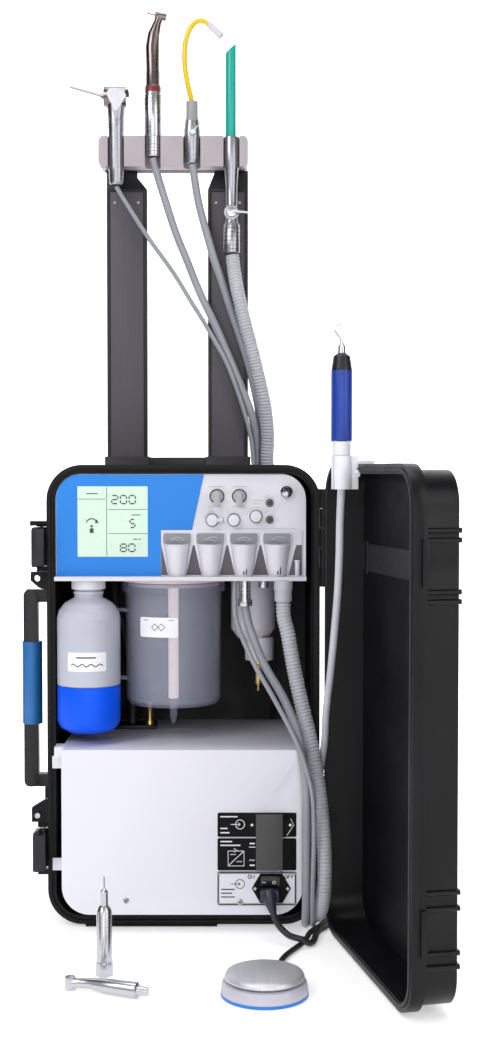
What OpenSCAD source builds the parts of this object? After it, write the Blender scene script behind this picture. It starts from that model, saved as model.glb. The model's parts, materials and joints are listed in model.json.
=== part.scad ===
// Portable dental unit in an upright hard case. Millimetres, Z up, X right,
// Y away from the viewer. Origin on the floor, under the case's parting plane.

/* [Case] */
// Width over the rims
case_w = 307; // [300:1:315]
// Height of the rims
case_h = 520; // [515:1:530]
// Depth of the base behind the parting plane
base_d = 165; // [163:1:172]
// Depth of the door in front of the parting plane
lid_d = 46.5; // [44:0.5:55]
// Wall thickness
wall = 4; // [3.5:0.1:5]
// Outer corner radius of the rims
rim_r = 40; // [38:0.5:42]
// Angle the door stands open at
door_open = 102; // [100:0.5:104]
// Radius of the door's hinge pins
hinge_pin_r = 2; // [1.5:0.1:2.3]
// Radius of the trolley wheels
wheel_r = 24; // [22:0.5:26]

/* [Mast] */
// Height of the mast posts' shoulders
post_top = 861.5; // [840:0.5:880]
// Width of one post
post_w = 49.5; // [46:0.5:50]
// Height of the instrument bar
bar_h = 37.2; // [34:0.1:42]

/* [Fittings] */
// Height of the white cover's top
cover_top = 208; // [206:0.5:210]
// How far the white cover stands out of the parting plane
cover_out = 40; // [38:0.5:42]
// Outer radius of the waste jar
jar_r = 56.5; // [53:0.5:56.5]
// Outer radius of the water bottle
bottle_r = 35.7; // [33:0.1:35.8]
// Radius of the foot pedal's base
pedal_r = 43; // [41:0.5:46]

/* [Cords] */
// Diameter of the mains lead
mains_d = 7; // [6:0.5:7]
// Diameter of the foot pedal's tube
pedal_d = 6; // [5:0.5:6]
// Diameter of the corrugated suction hose
suction_d = 17; // [15:0.5:17]
// Diameter of the motor and saliva hoses
motor_d = 9.5; // [8:0.5:9.5]
// Diameter of the syringe's tube
syringe_d = 5.5; // [4.5:0.5:5.5]
// Diameter of the scaler's cable
scaler_d = 8; // [6.5:0.5:8]

/* [Hidden] */
$fn = 48;
seat = 0.3;
run = 0.05;
hw = case_w / 2;
foot = 2;
top = foot + case_h;
ox = hw - 5.5;
ix = ox - wall;
oz0 = foot + 6;
oz1 = top - 6;
iz0 = oz0 + wall;
iz1 = oz1 - wall;
rim_t = 16;
body_r = rim_r - 7;
in_r = rim_r - 11;
back = base_d - wall;
// door hinge
hx = hw + 4;
kn_r = 4.5;
kn_h = 22;
hinges = [35, 385];
// wheels
wheel_x = 115;
wheel_y = 150;
wheel_w = 24;
axle_r = 3;
// side handle
grip_y = 60;
grip_x = hw + 25;
grip_p = hw + 3;
// latches
latch_x = hw + 7;
latch_y = 11;
// mast
post_l = -100.5;
post_rr = 73.5;
post_y0 = base_d + 8;
post_y1 = post_y0 + 14;
post_foot = 334;
bar_z1 = 921.4;
bar_z0 = bar_z1 - bar_h;
bar_y0 = 148;
iy = 156;
syr_x = -87;
mot_x = -42.3;
sal_x = 5.2;
hve_x = 53.2;
// head
head_z0 = 392.5;
head_y = 2;
head_d = 92;
lid_top = head_z0 - seat;
jar_x = -13.7;
jar_y = 55;
jar_z0 = 247;
bot_x = -107.5;
bot_y = 10;
bot_z0 = 221;
boot_z1 = 274;
boot_wall = 1.5;
head_x0 = -ix + 0.6;
head_x1 = 137.7;
lip_y = -14;
// cover
cov_x = 133;
cov_t = 1.2;
cov_z0 = 25;
fy = -cover_out;
// pedal
ped = [88, -217];

// ---- helpers
module box(x0, x1, y0, y1, z0, z1)
  translate([x0, y0, z0]) cube([x1 - x0, y1 - y0, z1 - z0]);
module rr(x0, x1, y0, y1, r) union() {
  translate([x0 + r, y0]) square([x1 - x0 - 2 * r, y1 - y0]);
  translate([x0, y0 + r]) square([x1 - x0, y1 - y0 - 2 * r]);
  for (x = [x0 + r, x1 - r], y = [y0 + r, y1 - r]) translate([x, y]) circle(r);
}
module up(ya, yb) translate([0, yb, 0]) rotate([90, 0, 0]) linear_extrude(yb - ya) children();
module slab(x0, x1, z0, z1, r, ya, yb) up(ya, yb) rr(x0, x1, z0, z1, r);
module cyl(x, y, z0, z1, r) translate([x, y, z0]) cylinder(h = z1 - z0, r = r);
module cone(x, y, z0, z1, ra, rb) translate([x, y, z0]) cylinder(h = z1 - z0, r1 = ra, r2 = rb);
module cy(x, z, ya, yb, r) translate([x, yb, z]) rotate([90, 0, 0]) cylinder(h = yb - ya, r = r);
module cx(y, z, xa, xb, r) translate([xa, y, z]) rotate([0, 90, 0]) cylinder(h = xb - xa, r = r);
module seg(a, b, ra, rb) {
  d = b - a;
  translate(a) rotate([0, acos(d[2] / norm(d)), atan2(d[1], d[0])])
    cylinder(h = norm(d), r1 = ra, r2 = rb);
}
module turned(x, y, pts) translate([x, y, 0]) rotate_extrude() polygon(pts);
module opened() translate([hx, 0, 0]) rotate([0, 0, door_open]) translate([-hx, 0, 0]) children();

// a smooth run through hand-chosen points, swept with n sides
function cr(a, b, c, d, t) = 0.5 * ((2 * b) + (c - a) * t + (2 * a - 5 * b + 4 * c - d) * t * t
  + (3 * b - a - 3 * c + d) * t * t * t);
function at(p, i) = i < 0 ? 2 * p[0] - p[1] : i >= len(p) ? 2 * p[len(p) - 1] - p[len(p) - 2] : p[i];
function run_of(p, k) = concat([for (i = [0 : len(p) - 2], j = [0 : k - 1])
  cr(at(p, i - 1), p[i], p[i + 1], at(p, i + 2), j / k)], [p[len(p) - 1]]);
function unit(v) = v / norm(v);
function dirs(q) = [for (i = [0 : len(q) - 1]) unit(q[min(i + 1, len(q) - 1)] - q[max(i - 1, 0)])];
function flat(v, d) = unit(v - d * (v * d));
function sides(d, i) = i == 0 ? [flat(abs(d[0][2]) > 0.9 ? [1, 0, 0] : [0, 0, 1], d[0])]
  : let (s = sides(d, i - 1)) concat(s, [flat(s[i - 1], d[i])]);
module tube(p, dia, k, n = 8) {
  q = run_of(p, k);
  m = len(q);
  d = dirs(q);
  s = sides(d, m - 1);
  v = [for (i = [0 : m - 1], a = [0 : n - 1]) q[i] + dia / 2
    * (s[i] * cos(360 * a / n) + cross(d[i], s[i]) * sin(360 * a / n))];
  f = [for (i = [0 : m - 2], a = [0 : n - 1]) [i * n + a, i * n + (a + 1) % n,
    (i + 1) * n + (a + 1) % n, (i + 1) * n + a]];
  polyhedron(v, concat([[for (a = [0 : n - 1]) a]], [for (g = f) [g[3], g[2], g[1], g[0]]],
    [[for (a = [n - 1 : -1 : 0]) (m - 1) * n + a]]));
}

module loft(q, r, n = 16) {
  m = len(q);
  d = dirs(q);
  s = sides(d, m - 1);
  v = [for (i = [0 : m - 1], a = [0 : n - 1]) q[i] + r[i]
    * (s[i] * cos(360 * a / n) + cross(d[i], s[i]) * sin(360 * a / n))];
  f = [for (i = [0 : m - 2], a = [0 : n - 1]) [(i + 1) * n + a, (i + 1) * n + (a + 1) % n,
    i * n + (a + 1) % n, i * n + a]];
  polyhedron(v, concat([[for (a = [0 : n - 1]) a]], f, [[for (a = [n - 1 : -1 : 0]) (m - 1) * n + a]]));
}

// ---- case
module knuckle(x, z, r, k) cyl(x, 0, z + k * kn_h + 0.15, z + (k + 1) * kn_h - 0.15, r);
module case_shell() color([0.11, 0.11, 0.12]) difference() {
  union() {
    slab(-hw, hw, foot, top, rim_r, 0, rim_t);
    slab(-ox, ox, oz0, oz1, body_r, rim_t - 1, base_d);
    box(-111, 38, -2, 34, 0, foot + 0.5);
    box(-111, 38, 2, 34, 0, foot + 8);
    box(-70, 70, base_d - 30, base_d - 4, 0, oz0 + 2);
    for (s = [-1, 1]) for (z = [95, 125, 395, 425])
      box(s * ox - 3, s * ox + 3, rim_t - 1, base_d - 10, z, z + 8);
    for (z = hinges, k = [0, 2, 4]) {
      knuckle(hx, z, kn_r, k);
      box(hw - 3, hx, 0, kn_r, z + k * kn_h + 0.15, z + (k + 1) * kn_h - 0.15);
    }
    up(3, 12) polygon([[-hw + 2, 380], [-hw - 10, 384], [-hw - 18.5, 392], [-hw - 18.5, 401.5],
      [-hw + 2, 401.5]]);
    up(3, 12) polygon([[-hw + 2, 118], [-hw - 18.5, 118], [-hw - 18.5, 134], [-hw - 9, 140],
      [-hw + 2, 146]]);
    for (z = [402, 452.5, 57.5, 111.7]) box(-latch_x - 5, -hw + 2, latch_y - 6, latch_y + 4.9, z, z + 5.3);
    box(-hw - 19, -hw + 2, 3, 12, 453.5, 458.7);
    for (z = [131, 378.2]) box(-grip_p - 7, -ox + 1, grip_y - 8, grip_y + 8, z, z + 16);
    for (s = [-1, 1]) box(s * wheel_x - 17, s * wheel_x + 17, wheel_y - 29, back + 1, iz0 - 1, 53);
    box(-100, 100, back - 16, back + 1, cover_top - 6, cover_top - cov_t);
  }
  slab(-ix, ix, iz0, iz1, in_r, -1, rim_t + 1);
  difference() {
    slab(-ix, ix, iz0, iz1, in_r, rim_t, back);
    for (s = [-1, 1]) box(s * wheel_x - 17, s * wheel_x + 17, wheel_y - 29, back + 1, iz0 - 1, 53);
    box(-100, 100, back - 16, back + 1, cover_top - 6, cover_top - cov_t);
  }
  difference() {
    slab(-hw + 4.5, hw - 4.5, foot + 4.5, top - 4.5, rim_r - 4.5, -1, 3);
    slab(-hw + 8.5, hw - 8.5, foot + 8.5, top - 8.5, rim_r - 8.5, -2, 4);
  }
  for (s = [-1, 1]) {
    box(s * wheel_x - 13, s * wheel_x + 13, wheel_y - wheel_r - 2, base_d + 1, -1, wheel_r * 2 + 2);
    cx(wheel_y, wheel_r, s * wheel_x - 16, s * wheel_x + 16, axle_r + run);
  }
  for (z = hinges) {
    cyl(hx, 0, z + 1, z + 5 * kn_h - 1, hinge_pin_r + run);
    for (k = [1, 3]) cyl(hx, 0, z + k * kn_h - 0.15, z + (k + 1) * kn_h + 0.15, kn_r + 0.6);
  }
  cy(-hw - 11.5, 394, 0, 14, 3.6);
  cy(-hw - 11.5, 126, 0, 14, 3.2);
  for (z = [404, 59.5]) cyl(-latch_x, latch_y, z, z + 52, 1.8 + run);
  cyl(-grip_p, grip_y, 135, 390, 3 + run);
}
module pivot_pins() color([0.6, 0.6, 0.62]) {
  for (z = hinges) cyl(hx, 0, z + 1, z + 5 * kn_h - 1, hinge_pin_r);
  for (z = [404, 59.5]) cyl(-latch_x, latch_y, z, z + 52, 1.8);
  for (z = [135, 360]) cyl(-grip_p, grip_y, z, z + 30, 3);
  for (s = [-1, 1]) cx(wheel_y, wheel_r, s * wheel_x - 16, s * wheel_x + 16, axle_r);
  difference() {
    cy(-hw - 11.5, 126, -1, 15, 3.2 - run);
    cy(-hw - 11.5, 126, -2, 0.5, 1.6);
  }
}
module mast_guides() color([0.1, 0.1, 0.11]) {
  for (x = [post_l, post_rr - post_w]) difference() {
    union() {
      box(x - 3, x + post_w + 3, base_d, post_y1 + 3, 62, top - 3);
      box(x - 3, x + post_w + 3, post_y0 - 3, post_y1 + 3, top - 3, top + 11);
    }
    box(x - 0.2, x + post_w + 0.2, post_y0 - 0.2, post_y1 + 0.2, 60, top + 20);
  }
  box(post_l + post_w + 2.9, post_rr - post_w - 2.9, post_y0 + 2, post_y1, top - 6, top + 10);
  box(post_l + post_w + 2.9, post_rr - post_w - 2.9, post_y0 + 2, post_y1, 80, 96);
}
module wheel(s) color([0.12, 0.12, 0.12]) difference() {
  cx(wheel_y, wheel_r, s * wheel_x - wheel_w / 2, s * wheel_x + wheel_w / 2, wheel_r);
  cx(wheel_y, wheel_r, s * wheel_x - wheel_w, s * wheel_x + wheel_w, axle_r + run);
  for (d = [-1, 1]) cx(wheel_y, wheel_r, s * wheel_x + d * wheel_w / 2 - 3,
    s * wheel_x + d * wheel_w / 2 + 3, wheel_r - 7);
}
module left_wheel() wheel(-1);
module right_wheel() wheel(1);
module latch(z) color([0.09, 0.09, 0.1]) difference() {
  union() {
    cyl(-latch_x, latch_y, z, z + 44, 5.6);
    box(-latch_x - 7.8, -latch_x - 1, -14, latch_y, z, z + 44);
    box(-latch_x - 7.8, -hw - 1, -17, -10, z + 2, z + 42);
  }
  cyl(-latch_x, latch_y, z - 1, z + 45, 1.8 + run);
  box(-latch_x - 9, -latch_x - 5.8, -10, 4, z + 8, z + 36);
}
module upper_latch() latch(407.9);
module lower_latch() latch(65.2);
module side_handle() color([0.1, 0.33, 0.7]) difference() {
  union() {
    for (z = [147.6, 363]) {
      cyl(-grip_p, grip_y, z, z + 14.6, 7.5);
      box(-grip_x - 6, -grip_p, grip_y - 7, grip_y + 7, z, z + 14.6);
    }
    slab(-grip_x - 9, -grip_x + 7, 147.6, 377.6, 7, grip_y - 8, grip_y + 8);
    cyl(-grip_x, grip_y, 221, 317, 11.6);
  }
  cyl(-grip_p, grip_y, 140, 390, 3 + run);
}

// ---- door, drawn closed and swung open
module door_shell() color([0.1, 0.1, 0.11]) opened() difference() {
  union() {
    slab(-hw, hw, foot, top, rim_r, -14, 0);
    slab(-ox, ox, oz0, oz1, body_r, -lid_d, -13);
    for (z = [462.5, 453.5, 405.5, 396.5, 125.5, 110.5, 68.5, 55.5]) slab(-ox - 4, ox, z - 5, z, 2.4,
      -lid_d - 1.5, -13);
    for (z = hinges, k = [1, 3]) {
      knuckle(hx, z, kn_r, k);
      box(hw - 3, hx, -kn_r, 0, z + k * kn_h + 0.15, z + (k + 1) * kn_h - 0.15);
    }
    for (z = [408, 65.5]) box(-hw - 4.5, -hw + 2, -14, -8, z, z + 44);
  }
  slab(-ix, ix, iz0, iz1, in_r, -lid_d + wall, 1);
  difference() {
    slab(-hw + 4.5, hw - 4.5, foot + 4.5, top - 4.5, rim_r - 4.5, -3, 1);
    slab(-hw + 8.5, hw - 8.5, foot + 8.5, top - 8.5, rim_r - 8.5, -4, 2);
  }
  for (z = hinges) {
    cyl(hx, 0, z - 1, z + 5 * kn_h + 1, hinge_pin_r + run);
    for (k = [0, 2, 4]) cyl(hx, 0, z + k * kn_h - 0.15, z + (k + 1) * kn_h + 0.15, kn_r + 0.6);
  }
  cy(hw - 7, 505, -20, -8, 2);
}
module door_seal() color([0.2, 0.2, 0.2]) opened() difference() {
  slab(-hw + 4.7, hw - 4.7, foot + 4.7, top - 4.7, rim_r - 4.7, -3, 1.2);
  slab(-hw + 8.3, hw - 8.3, foot + 8.3, top - 8.3, rim_r - 8.3, -4, 2);
}
// scaler: holder clipped on the door's rim, drawn closed and swung open
sc = [168.4, -130];
sc_c = [28.1, 16.4];
module scaler_holder() color([0.86, 0.84, 0.85]) opened() difference() {
  union() {
    cyl(sc_c[0], sc_c[1], 496, 530.4, 11);
    box(sc_c[0] - 6, sc_c[0] + 6, 0.02, sc_c[1] - 6, 496, 530.4);
    box(sc_c[0] - 6, sc_c[0] + 6, -17, 1, top + 0.02, top + 4);
    box(sc_c[0] - 6, sc_c[0] + 6, -17, -14.02, oz1 + 0.5, top + 1);
    cy(sc_c[0] - 11, 512.7, 0.02, 6, 1.9);
    box(sc_c[0] - 12, sc_c[0] - 5, 0.02, 3, 509, 516);
  }
  cyl(sc_c[0], sc_c[1], 490, 540, 8.6);
  box(sc_c[0] - 20, sc_c[0] + 20, -1, 1.5, top - 8.7, top - 4.3);
  box(sc_c[0] - 6.3, sc_c[0] + 6.3, 18, 30, 490, 540);
}
module scaler_handpiece() color([0.1, 0.2, 0.55]) {
  turned(sc[0], sc[1], [[0, 500], [6.4, 500], [8.3, 512], [8.3, 530.7], [9.6, 530.8], [9.6, 545],
    [10.9, 546], [10.9, 618], [8.6, 632.8], [4, 636], [4, 643], [2.2, 645], [1.7, 649], [0, 649]]);
  loft([[sc[0], sc[1], 646], [sc[0] - 1, sc[1], 651], [sc[0] - 7, sc[1], 659], [sc[0] - 5.4, sc[1], 663],
    [sc[0] + 1, sc[1], 668]], [1.5, 1.5, 1.3, 1.1, 0.5], 8);
}

// ---- mast
module post(x, lean) difference() {
  union() {
    box(x, x + post_w, post_y0, post_y1, post_foot, post_top);
    up(post_y0 + 2, post_y1 - 2) polygon(lean > 0
      ? [[x + 9, bar_z0], [x, post_top], [x + post_w, post_top], [x + post_w, bar_z0]]
      : [[x, bar_z0], [x, post_top], [x + post_w, post_top], [x + post_w - 12, post_top + 15],
        [x + post_w - 12, bar_z0]]);
  }
  box(x + 4, x + post_w - 4, post_y0 - 1, post_y0 + 1.2, post_foot + 10, post_top - 3);
  for (d = [9, post_w - 9]) cy(x + d, 845, post_y0 - 1, post_y1 + 1, 1.6);
  box(x + 6, x + post_w - 6, post_y0 + 4, post_y1 + 1, post_foot - 1, post_top - 20);
}
module mast_posts() color([0.2, 0.2, 0.21]) {
  post(post_l, -1);
  post(post_rr - post_w, 1);
}
module slot_cut(x, r) {
  cyl(x, iy, bar_z0 - 1, bar_z1 + 1, r);
  box(x - r, x + r, bar_y0 - 5, iy, bar_z0 - 1, bar_z1 + 1);
}
module instrument_bar() color([0.72, 0.69, 0.71]) difference() {
  slab(-108.3, 73.3, bar_z0, bar_z1, 7, bar_y0, post_y1 + 4);
  slot_cut(syr_x, 9.9);
  slot_cut(mot_x, 9.5);
  slot_cut(sal_x, 10.4);
  slot_cut(hve_x, 9.7);
  box(-102, 67, iy + 14, post_y1, bar_z0 - 1, bar_z1 - 8);
  box(post_l - 1, post_l + post_w - 11, iy + 14, post_y1 - 1, bar_z0 - 1, bar_z0 + 5);
}
module syringe_body() color([0.62, 0.63, 0.65]) difference() {
  union() {
    turned(syr_x, iy, [[0, 863], [7, 863], [8.6, 866], [9.6, bar_z0], [9.6, bar_z1 + 4], [10.2, 940],
      [0, 950]]);
    cone(syr_x, iy, 936, 970, 9.6, 12);
    cx(iy, 969, -101.5, -74.5, 12.5);
    seg([-98, iy, 969], [-105, iy, 971], 5, 3);
    seg([-104, iy, 970.7], [-143, iy, 981.5], 1.9, 1.6);
  }
  for (d = [-1, 1]) translate([-82, iy + d * 5.5, 974]) rotate([0, 90, 0]) cylinder(h = 11, r = 3.3);
}
module button(d) color([0.3, 0.3, 0.32]) cx(iy + d * 5.5, 974, -79.7, -71.6, 3.2);
module air_button() button(-1);
module water_button() button(1);
module motor_handpiece() color([0.6, 0.6, 0.62]) {
  turned(mot_x, iy, [[0, 897], [8.4, 897], [9.2, 901], [9.2, bar_z1 + 0.02], [10.8, bar_z1 + 0.02], [10.8, 970], [9.8, 974],
    [9.8, 981], [8.6, 984], [8.6, 1000], [0, 1000]]);
  loft([[mot_x, iy, 996], [mot_x - 0.6, iy, 1029], [mot_x + 1, iy, 1044], [-36.8, iy, 1058], [-33.4, iy, 1067]],
    [8.2, 8.5, 7.5, 5, 4.4]);
  translate([-32.5, iy, 1066.5]) rotate([0, -78, 0]) translate([0, 0, -7]) cylinder(h = 14, r = 4.6);
  translate([-32.5, iy, 1066.5]) rotate([0, -78, 0]) cylinder(h = 17, r = 0.9);
}
module saliva_valve() color([0.55, 0.56, 0.58]) difference() {
  turned(sal_x, iy, [[0, 889], [6.5, 889], [7.5, 893], [9.6, 912], [10.1, 920], [10.1, 928], [8.6, 940],
    [7.2, 945], [7.2, 963.5], [0, 963.5]]);
  cy(sal_x + 1, 926, iy - 12, iy - 4, 4.1);
  cyl(sal_x, iy, 950, 970, 3.65);
}
module saliva_lever() color([0.7, 0.7, 0.72]) {
  cy(sal_x + 1, 926, iy - 13, iy - 4.3, 4);
  seg([sal_x + 1, iy - 12, 926], [sal_x + 9.4, iy - 12, 934], 1.6, 1.2);
}
sal_tip = [[sal_x, iy, 951], [sal_x - 0.8, iy, 966], [sal_x - 4.5, iy, 982], [sal_x - 7.8, iy, 1000],
  [sal_x - 9, iy, 1018], [sal_x - 7.6, iy, 1036], [sal_x - 3, iy, 1050], [sal_x + 4.5, iy, 1059],
  [sal_x + 13, iy, 1061], [sal_x + 22, iy, 1056]];
module saliva_tip() color([0.85, 0.75, 0.15]) {
  tube(sal_tip, 6.4, 3, 10);
  seg([sal_x + 20, iy, 1057.3], [sal_x + 36, iy, 1042], 4, 4.2);
}
module suction_valve() color([0.62, 0.63, 0.65]) difference() {
  union() {
    turned(hve_x, iy, [[0, 779], [6.5, 779], [10.4, 781], [10.4, 814], [8.2, 818], [7.2, 824], [7.2, 860],
      [8.4, bar_z0 - 4], [9.2, bar_z0], [9.2, bar_z1 - 1], [0, bar_z1 - 1]]);
    cy(hve_x, 829, iy - 9, iy + 9, 9);
  }
  cy(hve_x, 829, iy - 12, iy - 5, 6.1);
  cyl(hve_x, iy, bar_z1 - 16, bar_z1 + 1, 6.6);
}
module suction_lever() color([0.75, 0.75, 0.77]) {
  cy(hve_x, 829, iy - 13, iy - 5.2, 6);
  seg([hve_x + 2, iy - 11.9, 829], [hve_x + 20, iy - 12.9, 827.5], 2.4, 1.3);
}
module suction_tip() color([0.05, 0.6, 0.5]) difference() {
  cyl(hve_x - 1, iy, bar_z1 - 15.9, 1034, 6.4);
  cyl(hve_x - 1, iy, bar_z1 - 17, 1040, 5);
  translate([hve_x - 8, iy - 10, 1020.5]) rotate([0, -42, 0]) translate([-10, 0, 0]) cube([50, 20, 30]);
}

// ---- control head
module head_face() union() {
  rr(head_x0, head_x1, head_z0, iz1 - 0.3, in_r - 0.3);
  translate([head_x0, head_z0]) square([head_x1 - head_x0, 40]);
}
knobs = [[37.9, 486.5], [63, 486.5], [32.5, 460], [56.8, 460], [81.7, 464], [97, 479.2], [97, 460.3]];
module control_head() color([0.86, 0.85, 0.88]) difference() {
  union() {
    up(head_y, head_y + 3) head_face();
    difference() {
      up(head_y + 2.9, head_d) head_face();
      up(head_y, head_d + 1) rr(head_x0 + 3, head_x1 - 3, head_z0 + 3, iz1 - 3.3, in_r - 3.3);
    }
    box(head_x0, head_x1, lip_y, head_y + 1, head_z0, head_z0 + 4.4);
    cy(115.8, 491.4, head_y - 3, head_y + 1, 6.7);
  }
  for (k = knobs) cy(k[0], k[1], head_y - 1, head_y + 4, 2 + run);
}
module display_panel() color([0.05, 0.42, 0.85]) difference() {
  up(head_y - 0.8, head_y) difference() {
    union() {
      rr(head_x0 + 0.8, 23, 430, iz1 - 1, 27);
      polygon([[head_x0 + 0.8, head_z0 + 4.5], [-25.2, head_z0 + 4.5], [-25.2, 448.8], [9.8, 448.8],
        [23.3, iz1 - 1], [head_x0 + 30, iz1 - 1], [head_x0 + 0.8, 480]]);
    }
    translate([9.8, 448.8]) rotate([0, 0, -12.1]) square([20, 90]);
    translate([-25.2, 400]) square([60, 48.8]);
  }
  box(-119, -39.6, head_y - 2, head_y - 0.4, 418.4, 498.1);
}
tabs = [-6.9, 30.4, 68.2, 105.2];
module instrument_holders() color([0.85, 0.84, 0.87]) {
  box(-24.9, head_x1 - 4, head_y - 1.2, head_y, head_z0 + 4.5, 448.6);
  for (x = tabs) {
    box(x - 16.4, x + 16.4, head_y - 3, head_y - 1.2, 433.1, 445.5);
    difference() {
      intersection() {
        cone(x, head_y - 1.2, head_z0 + 4.5, 433, 9.6, 15);
        box(x - 20, x + 20, head_y - 17, head_y - 0.7, head_z0 + 4.4, 434);
      }
      cone(x, head_y - 1.2, head_z0 + 3.5, 434, 6.6, 12);
    }
  }
  cyl(128, head_y - 3.6, head_z0 + 4.5, 413, 2.8);
  cyl(128, head_y - 3.6, 412.9, 415, 3.4);
}
module knob(k, r, d) {
  cy(k[0], k[1], head_y - d, head_y - 0.3, r);
  cy(k[0], k[1], head_y - 1, head_y + 8, 2);
}
module lever(k) {
  knob(k, 6.6, 6);
  box(k[0] - 3.2, k[0] + 3.2, head_y - 9, head_y - 5.5, k[1] - 10.8, k[1] + 5);
}
module air_lever() color([0.6, 0.6, 0.64]) lever(knobs[0]);
module water_lever() color([0.6, 0.6, 0.64]) lever(knobs[1]);
module drive_dial() color([0.8, 0.8, 0.83]) {
  knob(knobs[2], 6.2, 7);
  cx(head_y - 4, knobs[2][1], knobs[2][0] + 4, knobs[2][0] + 12, 2.4);
}
module coolant_dial() color([0.8, 0.8, 0.83]) knob(knobs[3], 6.2, 8);
module pressure_dial() color([0.8, 0.8, 0.83]) knob(knobs[4], 6.2, 9);
module upper_needle() color([0.2, 0.2, 0.22]) knob(knobs[5], 3.1, 4);
module lower_needle() color([0.2, 0.2, 0.22]) knob(knobs[6], 3.1, 4);

// ---- vessels
module vessel_lids() color([0.7, 0.7, 0.75]) {
  difference() {
    cyl(bot_x, bot_y, 382, lid_top, 19.2);
    cyl(bot_x, bot_y, 381, 389, 15.1);
  }
  cyl(jar_x, jar_y, 387.8, lid_top, jar_r + 2.5);
  cyl(jar_x, jar_y, 383, 388, jar_r - 4.2);
  cyl(jar_x, jar_y, 280, 384, 5);
}
module water_bottle() color([0.75, 0.76, 0.82, 0.6]) difference() {
  turned(bot_x, bot_y, [[0, bot_z0 + boot_wall], [bottle_r - 10, bot_z0 + boot_wall],
    [bottle_r - 1.6, bot_z0 + 11], [bottle_r - 1.6, boot_z1], [bottle_r, boot_z1 + 1], [bottle_r, 350],
    [bottle_r - 2, 358], [bottle_r - 9, 366.5], [17, 372], [16, 373], [16, 376], [17, 376.4], [17, 379.5],
    [15, 380], [15, 388.6], [0, 388.6]]);
  turned(bot_x, bot_y, [[0, bot_z0 + 5], [bottle_r - 11, bot_z0 + 5], [bottle_r - 3.4, bot_z0 + 12],
    [bottle_r - 3.4, boot_z1], [bottle_r - 2, boot_z1 + 2], [bottle_r - 2, 349], [bottle_r - 4, 356],
    [bottle_r - 11, 364], [13, 370.5], [13, 390], [0, 390]]);
}
module bottle_boot() color([0.02, 0.25, 0.85]) difference() {
  turned(bot_x, bot_y, [[0, bot_z0], [bottle_r - 12, bot_z0], [bottle_r - 3, bot_z0 + 5.5],
    [bottle_r, bot_z0 + 13], [bottle_r, boot_z1], [0, boot_z1]]);
  turned(bot_x, bot_y, [[0, bot_z0 + boot_wall], [bottle_r - 10, bot_z0 + boot_wall],
    [bottle_r - 1.6, bot_z0 + 11], [bottle_r - 1.6, boot_z1 + 1], [0, boot_z1 + 1]]);
}
module waste_jar() color([0.6, 0.62, 0.7, 0.5]) {
  difference() {
    turned(jar_x, jar_y, [[0, jar_z0], [jar_r - 6, jar_z0], [jar_r - 2, jar_z0 + 5], [jar_r - 1, 375],
      [jar_r + 3, 377], [jar_r + 3, 387.5], [0, 387.5]]);
    turned(jar_x, jar_y, [[0, jar_z0 + 3], [jar_r - 8, jar_z0 + 3], [jar_r - 4, jar_z0 + 7],
      [jar_r - 4, 390], [0, 390]]);
  }
  cyl(jar_x, jar_y, 231, jar_z0 + 1, 4.5);
  cone(jar_x, jar_y, 222, 231, 2, 4.5);
  for (z = [275, 353.5]) box(jar_x - 66.5, jar_x - 48, jar_y - 18, jar_y - 6, z, z + 3.5);
  box(jar_x - 69, jar_x - 65.5, jar_y - 18, jar_y - 6, 275, 357);
}
module separator() color([0.8, 0.8, 0.84]) {
  cyl(79, 80, 330, head_z0 - 0.02, 26);
  cone(79, 80, 319, 330, 18, 26);
  cyl(86.5, 80, 293, 320, 17);
  cyl(85.4, 80, 264, 294, 5.2);
  translate([85.4, 80, 283]) sphere(7);
  cyl(85.4, 80, 256, 265, 2.4);
}
module air_fittings() color([0.7, 0.6, 0.3]) {
  box(-85, -36, 92, 128, cover_top, cover_top + 4);
  cyl(-44.5, 106, cover_top + 3, cover_top + 9, 6.2);
  cyl(-44.5, 106, cover_top + 8, cover_top + 27, 3.8);
  cyl(-44.5, 106, cover_top + 26, cover_top + 30, 5);
  cyl(-66, 114, cover_top + 3, cover_top + 46, 7);
  tube([[-66, 114, cover_top + 40], [-68, 114, 285], [-76, 114, 318], [-86, 114, 350], [-88, 114, 372],
    [-88, 114, head_z0 + 8]], 14, 2, 8);
}

// ---- white cover and what is in and on it
module cover_2d(x, z0, z1) union() {
  rr(-x, x, z0, z1 - 20, 31);
  translate([-x, z0 + 40]) square([2 * x, z1 - z0 - 42]);
  translate([-x + 2, z1 - 4]) square([2 * x - 4, 4]);
  for (s = [-1, 1]) translate([s * (x - 2), z1 - 2]) circle(2);
}
module equipment_cover() color([0.9, 0.89, 0.93]) difference() {
  union() {
    up(fy, -2) cover_2d(cov_x, cov_z0, cover_top);
    box(-cov_x, cov_x, -3, back - 0.02, cover_top - cov_t, cover_top);
    for (s = [-1, 1]) box(s * cov_x - cov_t, s * cov_x + cov_t, -3, wheel_y - 32, 60, cover_top);
    difference() {
      box(-cov_x - 9.8, -cov_x + 1, -24, -0.02, 196, cover_top);
      box(-cov_x - 8.6, -cov_x - 0.9, -22.8, 1, 190, cover_top - cov_t);
    }
    for (z = [64, 180]) box(-ix - 4, -cov_x + 1, -1.2, -0.02, z, z + 14);
    for (z = [64, 100]) box(cov_x - 1, ix + 4, -1.2, -0.02, z, z + 14);
  }
  up(fy + cov_t, 0) cover_2d(cov_x - cov_t, cov_z0 + cov_t, cover_top - cov_t);
  box(-cov_x - 0.5, -cov_x + 3, -30, -8, 190, 195);
  box(-cov_x + cov_t, cov_x - cov_t, -4, back + 1, 20, cover_top - cov_t);
  box(83, 110.6, fy - 1, fy + 2, 41, 71.6);
  box(85, 108, fy - 1, fy + 2, 114, 136);
}
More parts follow.
